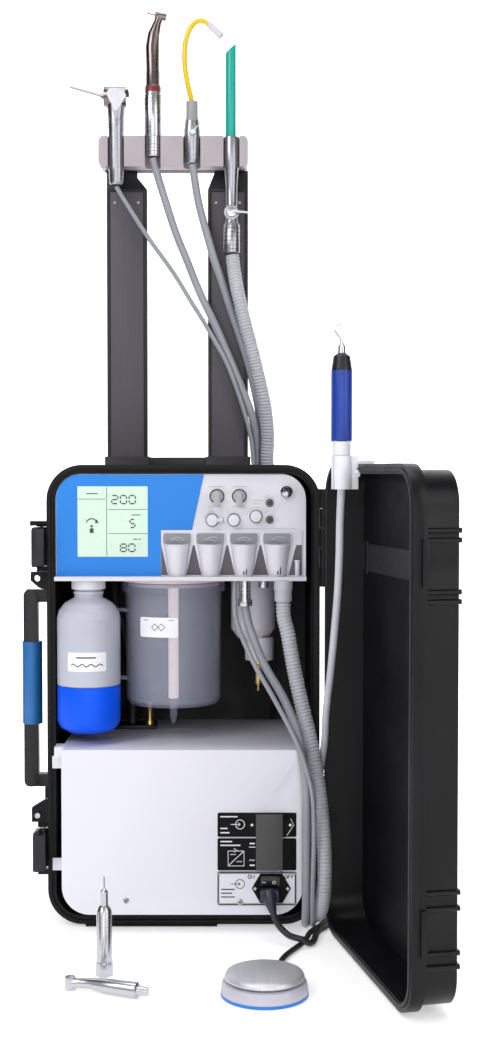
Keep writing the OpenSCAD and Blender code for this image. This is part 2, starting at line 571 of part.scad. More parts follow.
module compressor() color([0.25, 0.26, 0.28]) {
  for (x = [-98, -28], y = [14, 82]) cyl(x, y, iz0, iz0 + 20, 9);
  box(-114, -12, 2, 94, iz0 + 19, iz0 + 25);
  cx(48, 92, -112, -14, 40);
  cyl(-84, 48, 120, 168, 26);
  cyl(-42, 48, 120, 168, 26);
  box(-112, -14, 24, 72, iz0 + 24, 70);
}
module power_supply() color([0.6, 0.62, 0.62]) {
  box(10, 90, 6, 104, iz0, iz0 + 60);
  box(16, 84, 12, 98, iz0 + 59, iz0 + 74);
  cyl(50, 55, iz0 + 70, iz0 + 100, 24);
}
module hexa(x0, x1, z0, z1) polygon([[x0, (z0 + z1) / 2], [x0 + 9, z0], [x1 - 9, z0], [x1, (z0 + z1) / 2],
  [x1 - 9, z1], [x0 + 9, z1]]);
module input_plates() color([0.08, 0.08, 0.09]) difference() {
  union() {
    for (z = [[111.9, 138.7], [74.7, 110.3], [35.8, 73.2]])
      slab(38.9, 125.8, z[0], z[1], 1.8, fy - 0.8, fy);
    up(fy - 2.2, fy - 0.7) hexa(73.6, 122.7, 111.9, 138.6);
    up(fy - 2.6, fy - 0.7) hexa(76.9, 119.5, 38.8, 70.8);
    box(81.3, 110.6, fy - 3.4, fy - 2.2, 74.9, 137.5);
    box(81.3, 110.6, fy - 2.6, fy - 0.7, 74.9, 110);
    box(84, 109.6, fy - 1, fy + 26, 42, 70.6);
    box(86, 107, fy - 1, fy + 16, 115, 135);
    for (p = [[76.9, 125.7], [119, 125.7], [80.2, 54.8], [116.2, 54.8]]) cy(p[0], p[1], fy - 3.4, fy - 1, 1.6);
  }
  box(85.6, 106.6, fy - 5, fy + 12, 43.5, 56.2);
  box(86, 108, fy - 5, fy + 5, 57, 70);
}
module power_rocker() color([0.03, 0.03, 0.03]) {
  box(86.4, 107.6, fy - 3.2, fy + 1, 58.1, 68.9);
  cx(fy + 1, 63.5, 86.02, 107.98, 3.4);
}
pl = [96.3, fy - 5];
module mains_plug() color([0.04, 0.04, 0.06]) {
  box(86, 106.2, fy - 14, fy + 11.6, 43.9, 55.8);
  loft([[96.2, fy - 7, 52], [96.8, fy - 12, 46], [97.6, fy - 15, 41], [99.8, fy - 17.5, 33]], [9.3, 8.6, 6.2, 4.2]);
}
mains_p = [[99.8, fy - 17.5, 33.2], [101.4, fy - 19, 28.5], [104.5, fy - 21.5, 22], [110, fy - 25, 16],
  [117, -70, 11.6], [124.5, -75.5, 10.6], [131.5, -78.5, 9.6], [138, -76, 5], [143, -67, 3.7], [145.8, -54, 3.6],
  [148, -40, 3.6], [152.2, -26.5, 3.6], [159.4, -14.5, 3.6], [165.4, -2, 3.6], [171.4, 10, 3.6],
  [177.4, 21, 3.6], [182.6, 32, 3.6], [186.6, 41.5, 3.6], [189, 50.6, 3.6]];
coil_m = [236, 64];
mains_e = [[251, 107.6, 9.8], [262, 107.6, 6.6], [273, 111.4, 4.8], [280.6, 120, 7], [284.4, 133, 13],
  [285, 148, 18]];
module mains_cord() color([0.04, 0.04, 0.05]) {
  tube(mains_p, mains_d, 3);
  tube(mains_e, mains_d, 2);
}
module ring(c, r, a, h) translate([c[0], c[1], 0]) rotate_extrude($fn = 64)
  polygon([[r - a, 3], [r - a + 3, 0], [r + a - 3, 0], [r + a, 3], [r + a, h - 3], [r + a - 3, h],
    [r - a + 3, h], [r - a, h - 3]]);
module mains_coil() color([0.05, 0.05, 0.06]) ring(coil_m, 38.5, mains_d * 1.5, 17);
module wall_plug() color([0.05, 0.05, 0.06]) difference() {
  union() {
    translate([285, 148.02, 18]) rotate([-90, 0, 0]) cylinder(h = 16, r1 = 4.4, r2 = 8);
    cy(285, 18, 163, 196, 18);
    for (x = [275.5, 294.5]) cy(x, 18, 195, 214, 2.4);
  }
  for (d = [-1, 1]) cy(285 + d * 18, 18, 192, 198, 3);
}

// ---- foot pedal
module pedal_base() color([0.3, 0.42, 0.6]) difference() {
  turned(ped[0], ped[1], [[0, 0], [pedal_r - 1, 0], [pedal_r, 1], [pedal_r, 7], [pedal_r - 1.5, 11], [pedal_r - 4, 12],
    [0, 12]]);
  cyl(ped[0], ped[1], 3, 20, pedal_r - 8);
}
module pedal_disc() color([0.7, 0.7, 0.72]) difference() {
  union() {
    turned(ped[0], ped[1], [[0, 9], [pedal_r - 8.6, 9], [pedal_r - 8.6, 16.5], [pedal_r - 3, 17.5],
      [pedal_r - 5, 22], [pedal_r - 9, 23.5], [0, 23.5]]);
    cyl(ped[0], ped[1], 5, 10, 8);
  }
}
pedal_p = [[104, ped[1] + 39.9, 5.5], [105.6, -168, 4.2], [105.4, -152, 3.1], [105.6, -136, 3.1],
  [108.5, -121, 3.1], [114, -106, 3.1], [120.6, -92, 3.1], [127.6, -78, 3.1], [133.6, -63, 3.1],
  [137.6, -49, 3.1], [140, -38, 3.1], [144.3, -27, 3.1], [151.4, -14.5, 3.1], [157.2, -2, 3.1],
  [162.6, 11, 3.1], [167.4, 24, 3.1], [171.6, 38, 3.1], [174.6, 54, 3.1], [176, 72, 3.1], [175.6, 90, 3.1],
  [174.6, 106, 3.1], [173.8, 122, 3.1], [173.4, 138, 3.1]];
coil_p = [214, 156];
pedal_e = [[205, 117.4, 9.4], [194, 116, 12.4], [184, 113.6, 19], [173, 111, 31], [163, 109.4, 41],
  [152.8, 109, 45]];
module pedal_cord() color([0.06, 0.06, 0.07]) {
  tube(pedal_p, pedal_d, 3);
  tube(pedal_e, pedal_d, 3);
}
module pedal_coil() color([0.06, 0.06, 0.07]) ring(coil_p, 32.9, pedal_d * 1.5, 15);

// ---- hoses: panel to floor, past the hinge, along the side, up behind the case
suction_p = [[112, -6, 369.2], [112.8, -8, 352], [117.6, -12, 331], [123.8, -15, 295], [133.2, -20, 251],
  [141, -26, 219], [146.6, -31, 190], [151.4, -37, 160], [155, -43, 125], [156.4, -48, 95], [156.6, -49, 72],
  [155.8, -45, 50], [153.7, -36, 31.8], [151.3, -22, 21.6], [151.5, -9.5, 16.2], [155.2, -0.5, 15.9], [156.4, 8, 15.7],
  [159.4, 29, 14], [161.6, 46, 10.8], [162.8, 64, 8.8], [163, 84, 8.7], [163, 104, 8.7],
  [163.2, 124, 10.5], [163.4, 143, 17], [163, 160, 28], [162, 174, 45], [160.6, 183, 68], [158, 187, 98], [153, 188, 135], [145, 188, 190], [136, 186.6, 250],
  [127, 183.6, 310], [118.5, 180, 370], [110.5, 177, 430], [101.5, 175.4, 490], [97.4, 175, 525], [98, 169.5, 560],
  [94.6, 162, 592], [90, 157, 615], [78.6, 151.4, 662], [68, 150.4, 702], [60.6, 151, 734], [56.6, 153.4, 757],
  [hve_x + 1, 155.8, 777.3]];
motor_p = [[69.4, -6, 364], [71.4, -9, 352], [76, -12, 336], [90, -19, 301], [109.6, -28, 268],
  [121.4, -36, 243], [128, -43, 224], [131.4, -47.6, 205], [134.6, -49, 184], [136.4, -49.4, 160], [136.6, -49, 125],
  [136.6, -48, 90], [136.6, -46, 60], [136.7, -40, 37], [136.7, -29, 17.5], [137.4, -14, 7.2], [139.4, 2, 5],
  [140.6, 20, 4.9], [141, 40, 4.9], [141.4, 62, 4.9], [141.6, 84, 4.9], [142, 108, 4.9], [142.6, 130, 5.2],
  [145, 150, 9.6], [148, 162, 17], [149, 170.6, 28], [147.6, 177, 50], [144.5, 178.5, 90], [138, 178.5, 150], [130, 178.5, 210],
  [120.5, 178.5, 270], [110, 178.5, 330], [99.6, 178.5, 390], [91.6, 178.5, 450], [85.8, 178.5, 500],
  [83.4, 177.5, 530], [82.6, 172, 560], [78, 166, 584], [71, 165, 604], [53.9, 164.4, 646], [33.2, 162.4, 694], [14.8, 159, 732],
  [-1.2, 158, 772], [-14.6, 157.5, 805], [-27, 157, 843], [-38.4, 156.4, 880], [mot_x, 156, 895.6]];
syringe_p = [[58.4, -3, 392], [57.6, -6, 372], [60.4, -13, 345], [78, -24, 304], [98, -36, 270], [115, -46.5, 240],
  [128, -54.5, 214], [137, -57.6, 188], [143, -57.8, 160], [144.4, -58.4, 125], [144, -58, 90], [143.4, -55, 62], [143.4, -48.6, 41],
  [143.8, -41, 27], [144.4, -32, 16], [144.6, -24, 10.9], [144.8, -19, 8.2], [145.1, -14, 5.7], [146.6, -5, 3.3]];
saliva_p = [[sal_x + 0.6, 156, 888], [8.6, 156.4, 868], [13, 157, 842], [20.8, 158, 812], [31, 160, 777],
  [41.8, 162.4, 746], [50.4, 164.4, 718], [62.4, 166.6, 683], [73, 168, 650], [80.6, 171, 620], [86.6, 176, 590],
  [90, 183, 555], [91, 188, 525], [93, 190.4, 500], [97.4, 192, 468], [101.6, 192, 440], [105.2, 190.8, 420]];
scaler_p = [[sc[0], sc[1], 499.7], [167.8, -130, 484], [167, -129, 462], [166.8, -126.4, 436],
  [166.4, -122, 411], [165.4, -114.6, 382], [163.8, -105, 354], [162.2, -93.6, 326], [160.4, -80, 297],
  [158.6, -65, 272], [157.4, -50, 247], [157.4, -31, 218], [154.8, -17, 190], [150.5, -11, 162], [147.4, -9.6, 136],
  [144.4, -9.6, 116], [140.6, -8, 101], [138.8, -2, 91.6], [138.6, 8, 87.6], [138.6, 20, 87], [138.6, 34, 87]];
module suction_hose() color([0.6, 0.6, 0.63]) tube(suction_p, suction_d, 2, 10);
module motor_hose() color([0.5, 0.5, 0.53]) tube(motor_p, motor_d, 2, 8);
module saliva_hose() color([0.5, 0.5, 0.53]) tube(saliva_p, motor_d, 3, 8);
module syringe_hose() color([0.5, 0.5, 0.53]) tube(syringe_all, syringe_d, 2, 8);
syringe_all = concat(syringe_p, [[148.2, 6, 3.2], [149.6, 24, 3.2], [150.4, 44, 3.2], [151, 70, 3.2],
  [151.2, 98, 3.2], [151.4, 122, 4.4], [151.4, 142, 11], [151.2, 156, 26], [151.2, 165, 44],
  [150.4, 169.6, 66], [144, 169.6, 102],
  [135.4, 168.6, 155], [126.6, 168.6, 215], [117.6, 168.6, 275], [108.6, 168.6, 335], [99.6, 168.6, 395],
  [90.6, 168.6, 450], [82.6, 168.6, 500], [79.8, 168, 530], [77.4, 165.4, 553], [70.4, 163, 582], [58.6, 159, 618],
  [45.6, 158.2, 651], [23.2, 158.4, 691], [2, 159, 725], [-17.6, 158.4, 757], [-50.6, 157.4, 803], [-78, 156.6, 846],
  [syr_x, 156, 861.3]]);
module scaler_cable() color([0.75, 0.75, 0.8]) tube(scaler_p, scaler_d, 3, 8);
module hose_connectors() color([0.65, 0.65, 0.68]) {
  cyl(69.2, -6, 364.2, 372, 8);
  cyl(69.2, -6, 371, head_z0 - 0.02, 6.4);
  cyl(90.1, 4, 384, head_z0 - 0.02, 5.6);
  cyl(112, -6, 369.4, 383, 9.8);
  cyl(112, -6, 382, head_z0 - 0.02, 10.6);
  difference() {
    seg([118.9, 180.2, 367], [111.1, 177.3, 425.5], 10.2, 10.2);
    seg([119, 180.25, 366], [111, 177.25, 426.5], 8.55, 8.55);
  }
  seg([112.6, 183, 402], [105.3, 190.7, 419.6], 5.2, 5.2);
  cx(109, 45, ox + 0.02, 152.8, 5.5);
  box(cov_x + cov_t + 0.3, ix - 0.02, 34.02, 46, 81, 93);
}
module spare_handpieces() color([0.7, 0.7, 0.73]) {
  turned(-75, -160, [[0, 0], [8.9, 0], [8.9, 12], [7.9, 16], [7.9, 66], [6, 70], [4, 72], [4, 86], [2.4, 88],
    [0.9, 89], [0.9, 101], [0, 101]]);
  loft([[-26, -232.4, 8], [-36, -228.6, 8], [-36.6, -228.4, 8], [-70, -215.2, 8], [-84, -209, 8],
    [-103, -202.6, 6.4]], [4.3, 4.6, 7.9, 7.2, 5.2, 4.7]);
  cyl(-105, -202, 0, 12.4, 5.4);
}

case_shell();
pivot_pins();
mast_guides();
control_head();
display_panel();
instrument_holders();
vessel_lids();
separator();
air_fittings();
equipment_cover();
compressor();
power_supply();
input_plates();
mains_plug();
mains_cord();
mains_coil();
wall_plug();
pedal_base();
pedal_cord();
pedal_coil();
syringe_hose();
motor_hose();
saliva_hose();
suction_hose();
scaler_cable();
hose_connectors();
spare_handpieces();
door_shell();
door_seal();
scaler_holder();
scaler_handpiece();
mast_posts();
instrument_bar();
syringe_body();
motor_handpiece();
saliva_valve();
saliva_tip();
suction_valve();
suction_tip();
air_lever();
water_lever();
drive_dial();
coolant_dial();
pressure_dial();
upper_needle();
lower_needle();
power_rocker();
upper_latch();
lower_latch();
side_handle();
left_wheel();
right_wheel();
pedal_disc();
air_button();
water_button();
saliva_lever();
suction_lever();
water_bottle();
bottle_boot();
waste_jar();
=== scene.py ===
import json
import math

import bpy
import numpy as np
from mathutils import Matrix, Vector


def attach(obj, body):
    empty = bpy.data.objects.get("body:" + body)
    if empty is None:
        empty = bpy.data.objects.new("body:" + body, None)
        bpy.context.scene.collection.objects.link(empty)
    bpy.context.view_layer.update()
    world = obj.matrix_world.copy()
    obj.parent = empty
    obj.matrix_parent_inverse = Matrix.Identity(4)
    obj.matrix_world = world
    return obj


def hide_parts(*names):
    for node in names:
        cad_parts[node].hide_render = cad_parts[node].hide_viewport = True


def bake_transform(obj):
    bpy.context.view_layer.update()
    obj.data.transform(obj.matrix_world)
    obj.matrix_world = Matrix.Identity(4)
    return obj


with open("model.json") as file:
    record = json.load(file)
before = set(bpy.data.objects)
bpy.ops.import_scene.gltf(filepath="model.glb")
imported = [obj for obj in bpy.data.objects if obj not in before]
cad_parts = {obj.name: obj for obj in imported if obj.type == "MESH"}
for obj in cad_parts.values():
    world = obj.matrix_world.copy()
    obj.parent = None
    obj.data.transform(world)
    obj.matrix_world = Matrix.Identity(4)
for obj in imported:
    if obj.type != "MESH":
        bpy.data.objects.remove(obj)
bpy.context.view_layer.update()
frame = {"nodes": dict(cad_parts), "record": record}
MM = 0.001
NODES = frame["nodes"]
scene = bpy.context.scene

# the angles in degrees and the welding distance in m that turn a solid into a moulded piece
NODE_WELD, FLAT_ANGLE, NODE_EDGE_ANGLE, NODE_SMOOTH = 2e-6, 1.5, 34, 38
# m and degrees, as fitted to the photograph
CAMERA_AT, CAMERA_DOWN = (0.0648, -1.636, 0.5133), 2.08


# ---- modelling steps, with sizes in mm
def pick(*objs):
    if bpy.context.mode != "OBJECT":
        bpy.ops.object.mode_set(mode="OBJECT")
    bpy.ops.object.select_all(action="DESELECT")
    for o in objs:
        o.select_set(True)
    if objs:
        bpy.context.view_layer.objects.active = objs[-1]


def settle(o, smooth=30):
    pick(o)
    bpy.ops.object.transform_apply(location=True, rotation=True, scale=True)
    if smooth:
        bpy.ops.object.shade_smooth_by_angle(angle=math.radians(smooth))
    return o


def finish_modifier(o, kind, **values):
    pick(o)
    m = o.modifiers.new("step", kind)
    for k, v in values.items():
        setattr(m, k, v)
    bpy.ops.object.modifier_apply(modifier=m.name)
    return o


def round_edges(o, width, angle=32):
    return finish_modifier(o, "BEVEL", width=width * MM, segments=2, limit_method="ANGLE",
                           angle_limit=math.radians(angle))


def block(name, x0, x1, y0, y1, z0, z1, soft):
    """A box whose edges are rounded by soft."""
    pick()
    bpy.ops.mesh.primitive_cube_add(
        size=1, location=((x0 + x1) / 2 * MM, (y0 + y1) / 2 * MM, (z0 + z1) / 2 * MM))
    o = bpy.context.active_object
    o.name = name
    o.scale = ((x1 - x0) * MM, (y1 - y0) * MM, (z1 - z0) * MM)
    settle(o, 0)
    if soft:
        round_edges(o, soft)
    return settle(o)


def recalc(o):
    pick(o)
    bpy.ops.object.mode_set(mode="EDIT")
    bpy.ops.mesh.select_all(action="SELECT")
    bpy.ops.mesh.remove_doubles(threshold=1e-6)
    bpy.ops.mesh.normals_make_consistent(inside=False)
    bpy.ops.object.mode_set(mode="OBJECT")
    return o


def turned(name, steps, at=(0, 0, 0), along="z", sides=40, smooth=35):
    """A turned piece: a disc is extruded and scaled step by step. steps are (height, radius)."""
    h0, r0 = steps[0]
    pick()
    bpy.ops.mesh.primitive_circle_add(vertices=sides, radius=max(r0, 0.02) * MM, fill_type="NGON",
                                      location=(0, 0, h0 * MM))
    o = bpy.context.active_object
    o.name = name
    bpy.ops.object.transform_apply(location=True)
    bpy.ops.object.mode_set(mode="EDIT")
    bpy.ops.mesh.select_all(action="SELECT")
    for (ha, ra), (hb, rb) in zip(steps, steps[1:]):
        bpy.ops.mesh.extrude_region_move(TRANSFORM_OT_translate={"value": (0, 0, (hb - ha) * MM)})
        k = max(rb, 0.02) / max(ra, 0.02)
        if abs(k - 1) > 1e-6:
            bpy.ops.transform.resize(value=(k, k, 1), center_override=(0, 0, hb * MM))
    bpy.ops.object.mode_set(mode="OBJECT")
    recalc(o)
    if along == "-y":
        o.rotation_euler = (math.radians(90), 0, 0)
    o.location = Vector(at) * MM
    return settle(o, smooth)


def band(name, centre, r, t, sides=48):
    """A thin ring round an upright axis."""
    pick()
    bpy.ops.mesh.primitive_torus_add(major_radius=r * MM, minor_radius=t * MM,
                                     major_segments=sides, minor_segments=8)
    o = bpy.context.active_object
    o.name = name
    o.location = Vector(centre) * MM
    return settle(o)


def extruded(name, verts, faces, thick):
    """Flat faces that look at the viewer, given in m, extruded away from the viewer by thick."""
    me = bpy.data.meshes.new(name)
    me.from_pydata(verts, [], faces)
    o = bpy.data.objects.new(name, me)
    scene.collection.objects.link(o)
    pick(o)
    bpy.ops.object.mode_set(mode="EDIT")
    bpy.ops.mesh.select_all(action="SELECT")
    bpy.ops.mesh.extrude_region_move(TRANSFORM_OT_translate={"value": (0, thick * MM, 0)})
    bpy.ops.object.mode_set(mode="OBJECT")
    return recalc(o)


def outline_plate(name, pts, y, thick):
    """A flat plate that looks at the viewer, with the outline (x, z)."""
    verts = [(x * MM, y * MM, z * MM) for x, z in pts]
    return settle(extruded(name, verts, [list(range(len(pts)))], thick))


def corners(x0, x1, z0, z1, r, n=6):
    """The outline (x, z) of a rectangle with corners of radius r."""
    out = []
    for cx, cz, a0 in ((x1 - r, z1 - r, 0), (x0 + r, z1 - r, 90),
                       (x0 + r, z0 + r, 180), (x1 - r, z0 + r, 270)):
        for i in range(n + 1):
            a = math.radians(a0 + 90 * i / n)
            out.append((cx + r * math.cos(a), cz + r * math.sin(a)))
    return out


def join(name, objs):
    pick(*objs)
    if len(objs) > 1:
        bpy.ops.object.join()
    o = bpy.context.active_object
    o.name = name
    return settle(o, 0)


def softened(node, width):
    """The node's own solid with its edges moulded round."""
    src = NODES[node]
    o = bpy.data.objects.new(node + "_finished", src.data.copy())
    scene.collection.objects.link(o)
    pick(o)
    o.data.materials.clear()
    bpy.ops.object.mode_set(mode="EDIT")
    bpy.ops.mesh.select_all(action="SELECT")
    bpy.ops.mesh.remove_doubles(threshold=NODE_WELD)
    bpy.ops.mesh.dissolve_limited(angle_limit=math.radians(FLAT_ANGLE), delimit=set())
    bpy.ops.object.mode_set(mode="OBJECT")
    if width:
        round_edges(o, width, NODE_EDGE_ANGLE)
    return settle(o, NODE_SMOOTH)


# ---- finishes
def start_finish(name):
    m = bpy.data.materials.new(name)
    m.use_nodes = True
    nt = m.node_tree
    b = nt.nodes["Principled BSDF"]
    tc = nt.nodes.new("ShaderNodeTexCoord")
    return m, nt, b, tc.outputs["Object"]


def add(nt, kind, **values):
    n = nt.nodes.new(kind)
    for k, v in values.items():
        if k in n.inputs:
            n.inputs[k].default_value = v
        else:
            setattr(n, k, v)
    return n


def noise(nt, coord, scale, detail=3, rough=0.55, stretch=None):
    if stretch:
        mp = add(nt, "ShaderNodeMapping")
        mp.inputs["Scale"].default_value = stretch
        nt.links.new(coord, mp.inputs["Vector"])
        coord = mp.outputs["Vector"]
    n = add(nt, "ShaderNodeTexNoise", Scale=scale, Detail=detail, Roughness=rough)
    nt.links.new(coord, n.inputs["Vector"])
    return n.outputs["Fac"]


def spread(nt, fac, lo, hi, a=0.3, b=0.7):
    r = add(nt, "ShaderNodeMapRange")
    r.inputs["From Min"].default_value = a
    r.inputs["From Max"].default_value = b
    r.inputs["To Min"].default_value = lo
    r.inputs["To Max"].default_value = hi
    nt.links.new(fac, r.inputs["Value"])
    return r.outputs["Result"]


def two_tone(nt, fac, a, b, lo=0.35, hi=0.65):
    r = add(nt, "ShaderNodeValToRGB")
    r.color_ramp.elements[0].position = lo
    r.color_ramp.elements[0].color = (*a, 1)
    r.color_ramp.elements[1].position = hi
    r.color_ramp.elements[1].color = (*b, 1)
    nt.links.new(fac, r.inputs["Fac"])
    return r.outputs["Color"]


def tone(c, k):
    return tuple(min(1, x * k) for x in c)


def bumped(nt, b, height, strength, distance):
    n = add(nt, "ShaderNodeBump", Strength=strength, Distance=distance)
    nt.links.new(height, n.inputs["Height"])
    nt.links.new(n.outputs["Normal"], b.inputs["Normal"])


def moulded(name, colour, rough, grain, depth, shade, patch, spec=0.5):
    """Moulded plastic or rubber: faint patches of tone, fine pebble grain, uneven gloss."""
    m, nt, b, co = start_finish(name)
    nt.links.new(two_tone(nt, noise(nt, co, patch), tone(colour, 1 - shade), tone(colour, 1 + shade)),
                 b.inputs["Base Color"])
    nt.links.new(spread(nt, noise(nt, co, patch * 4), rough - 0.05, rough + 0.07), b.inputs["Roughness"])
    b.inputs["Specular IOR Level"].default_value = spec
    bumped(nt, b, noise(nt, co, grain, 2), depth, 0.0004)
    return m


def brushed(name, colour, rough, stretch, scale, streak, metal=1.0):
    """Metal with fine turning or brushing lines."""
    m, nt, b, co = start_finish(name)
    n = noise(nt, co, scale, 4, 0.6, stretch)
    nt.links.new(two_tone(nt, n, tone(colour, 1 - streak), tone(colour, 1 + streak), 0.3, 0.7),
                 b.inputs["Base Color"])
    nt.links.new(spread(nt, n, rough - 0.06, rough + 0.1), b.inputs["Roughness"])
    b.inputs["Metallic"].default_value = metal
    bumped(nt, b, n, 0.08, 0.0002)
    return m


def clear(name, colour, rough, alpha, patch=14):
    """Frosted plastic that lets what is behind it show."""
    m, nt, b, co = start_finish(name)
    nt.links.new(two_tone(nt, noise(nt, co, patch), tone(colour, 0.95), tone(colour, 1.04)),
                 b.inputs["Base Color"])
    nt.links.new(spread(nt, noise(nt, co, 60), rough - 0.04, rough + 0.06), b.inputs["Roughness"])
    b.inputs["Alpha"].default_value = alpha
    b.inputs["IOR"].default_value = 1.45
    bumped(nt, b, noise(nt, co, 220, 2), 0.06, 0.0003)
    return m


case_black = moulded("case_black", (0.0055, 0.005, 0.006), 0.44, 700, 0.3, 0.18, 12, spec=0.18)
# painted shade: the lid is the same black plastic as the case, made a little darker for the shade inside the
# open lid
lid_black = moulded("lid_black", (0.005, 0.0045, 0.0055), 0.34, 620, 0.22, 0.2, 10, spec=0.2)
trim_black = moulded("trim_black", (0.008, 0.008, 0.010), 0.36, 800, 0.2, 0.12, 20, spec=0.35)
rubber_black = moulded("rubber_black", (0.011, 0.011, 0.012), 0.55, 500, 0.3, 0.12, 25)
plug_navy = moulded("plug_navy", (0.018, 0.02, 0.035), 0.35, 800, 0.15, 0.12, 30)
post_black = moulded("post_black", (0.010, 0.009, 0.011), 0.4, 900, 0.15, 0.1, 15, spec=0.3)
inlay_grey = brushed("inlay_grey", (0.060, 0.055, 0.068), 0.5, (60, 60, 1), 12, 0.14, 0.1)
bar_lilac = moulded("bar_lilac", (0.36, 0.32, 0.345), 0.42, 700, 0.12, 0.03, 9)
panel_white = moulded("panel_white", (0.62, 0.61, 0.67), 0.33, 800, 0.06, 0.02, 7)
cover_white = moulded("cover_white", (0.69, 0.685, 0.76), 0.36, 500, 0.05, 0.015, 5)
holder_white = moulded("holder_white", (0.74, 0.74, 0.80), 0.3, 700, 0.05, 0.02, 8)
overlay_blue = moulded("overlay_blue", (0.012, 0.20, 0.66), 0.34, 900, 0.04, 0.05, 6, spec=0.3)
display_pale = moulded("display_pale", (0.58, 0.74, 0.62), 0.3, 900, 0.03, 0.03, 16)
digit_grey = moulded("digit_grey", (0.03, 0.045, 0.05), 0.4, 900, 0.03, 0.05, 30)
icon_pale = moulded("icon_pale", (0.72, 0.72, 0.76), 0.4, 900, 0.03, 0.03, 30)
tab_grey = moulded("tab_grey", (0.23, 0.235, 0.265), 0.42, 900, 0.05, 0.05, 24)
knob_grey = moulded("knob_grey", (0.36, 0.35, 0.36), 0.35, 900, 0.05, 0.05, 40)
knob_pale = moulded("knob_pale", (0.62, 0.62, 0.68), 0.3, 900, 0.05, 0.04, 40)
plate_black = moulded("plate_black", (0.003, 0.003, 0.003), 0.5, 900, 0.05, 0.1, 20, spec=0.12)
pedal_side = moulded("pedal_side", (0.50, 0.48, 0.56), 0.36, 700, 0.06, 0.03, 14)
shutter_grey = moulded("shutter_grey", (0.045, 0.045, 0.046), 0.5, 900, 0.1, 0.08, 20)
strap_black = moulded("strap_black", (0.02, 0.02, 0.022), 0.5, 500, 0.3, 0.15, 20)
ring_red = moulded("ring_red", (0.16, 0.015, 0.02), 0.35, 900, 0.05, 0.08, 40)
adaptor_grey = moulded("adaptor_grey", (0.27, 0.27, 0.285), 0.4, 700, 0.08, 0.05, 30)
recess_dark = moulded("recess_dark", (0.085, 0.08, 0.09), 0.5, 700, 0.1, 0.12, 18)
card_dark = moulded("card_dark", (0.02, 0.02, 0.02), 0.8, 60, 0.02, 0.05, 2, spec=0.1)
print_black = moulded("print_black", (0.03, 0.03, 0.035), 0.45, 900, 0.02, 0.08, 40)
print_grey = moulded("print_grey", (0.42, 0.42, 0.46), 0.45, 900, 0.02, 0.05, 40)
steel = brushed("steel", (0.50, 0.50, 0.53), 0.22, (1, 1, 60), 30, 0.06)
steel_dark = brushed("steel_dark", (0.20, 0.165, 0.16), 0.2, (1, 1, 50), 40, 0.12)
steel_satin = brushed("steel_satin", (0.36, 0.36, 0.39), 0.3, (1, 1, 60), 30, 0.06)
disc_steel = brushed("disc_steel", (0.60, 0.60, 0.63), 0.42, (30, 1, 1), 14, 0.06, 0.55)
brass = brushed("brass", (0.62, 0.42, 0.16), 0.28, (1, 1, 50), 30, 0.12)
hose_grey = moulded("hose_grey", (0.265, 0.27, 0.305), 0.4, 400, 0.08, 0.06, 20)
hose_pale = moulded("hose_pale", (0.43, 0.435, 0.475), 0.4, 400, 0.08, 0.05, 20)
cable_white = moulded("cable_white", (0.50, 0.50, 0.56), 0.4, 500, 0.08, 0.05, 16)
scaler_blue = moulded("scaler_blue", (0.004, 0.035, 0.30), 0.38, 500, 0.15, 0.1, 30)
boot_blue = moulded("boot_blue", (0.0, 0.085, 0.80), 0.42, 500, 0.06, 0.05, 16, spec=0.2)
handle_blue = moulded("handle_blue", (0.01, 0.14, 0.42), 0.45, 600, 0.25, 0.1, 20)
ring_blue = moulded("ring_blue", (0.005, 0.17, 0.55), 0.35, 600, 0.06, 0.05, 16)
tip_green = moulded("tip_green", (0.0, 0.33, 0.27), 0.3, 500, 0.04, 0.06, 40)
tip_yellow = clear("tip_yellow", (0.72, 0.50, 0.005), 0.2, 0.96)
cap_clear = clear("cap_clear", (0.62, 0.60, 0.66), 0.25, 0.8)
gasket_red = moulded("gasket_red", (0.45, 0.03, 0.04), 0.4, 500, 0.1, 0.08, 30)
bottle_frost = clear("bottle_frost", (0.50, 0.51, 0.60), 0.34, 0.9)
jar_frost = clear("jar_frost", (0.43, 0.45, 0.56), 0.2, 0.27)
tube_rose = moulded("tube_rose", (0.78, 0.66, 0.64), 0.35, 500, 0.05, 0.04, 30)
# painted glow: the rose tube gives off light of its own, though it is no lamp, so that it shows bright through
# the frosted jar
tube_painted_glow = tube_rose.node_tree.nodes["Principled BSDF"]
tube_painted_glow.inputs["Emission Color"].default_value = (0.8, 0.68, 0.66, 1)
tube_painted_glow.inputs["Emission Strength"].default_value = 0.7
label_white = moulded("label_white", (0.80, 0.80, 0.84), 0.4, 900, 0.03, 0.02, 20)
machine_grey = brushed("machine_grey", (0.26, 0.27, 0.29), 0.4, (1, 1, 12), 20, 0.08, 0.6)
pin_steel = brushed("pin_steel", (0.52, 0.52, 0.55), 0.3, (1, 1, 30), 40, 0.1)
black_gloss = moulded("black_gloss", (0.01, 0.01, 0.012), 0.18, 900, 0.02, 0.1, 40)
floor_pale = moulded("floor_pale", (0.90, 0.90, 0.90), 0.75, 60, 0.02, 0.005, 1.2, spec=0.15)
# the floor glows more the farther it is from the viewer, so that the backdrop stays white
floor_tree = floor_pale.node_tree
floor_glow = floor_tree.nodes["Principled BSDF"]
floor_glow.inputs["Emission Color"].default_value = (1, 1, 1, 1)
floor_parts = add(floor_tree, "ShaderNodeSeparateXYZ")
floor_at = add(floor_tree, "ShaderNodeTexCoord")
floor_tree.links.new(floor_at.outputs["Object"], floor_parts.inputs["Vector"])
floor_tree.links.new(spread(floor_tree, floor_parts.outputs["Y"], lo=0.42, hi=1.0, a=0.25, b=1.4),
                     floor_glow.inputs["Emission Strength"])


def dress(o, material):
    o.data.materials.clear()
    o.data.materials.append(material)


def place(o, body, material):
    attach(o, body)
    dress(o, material)


def paint_node(node, material):
    o = NODES[node]
    if len(o.material_slots):
        for s in o.material_slots:
            s.link = "OBJECT"
            s.material = material
    else:
        dress(o, material)


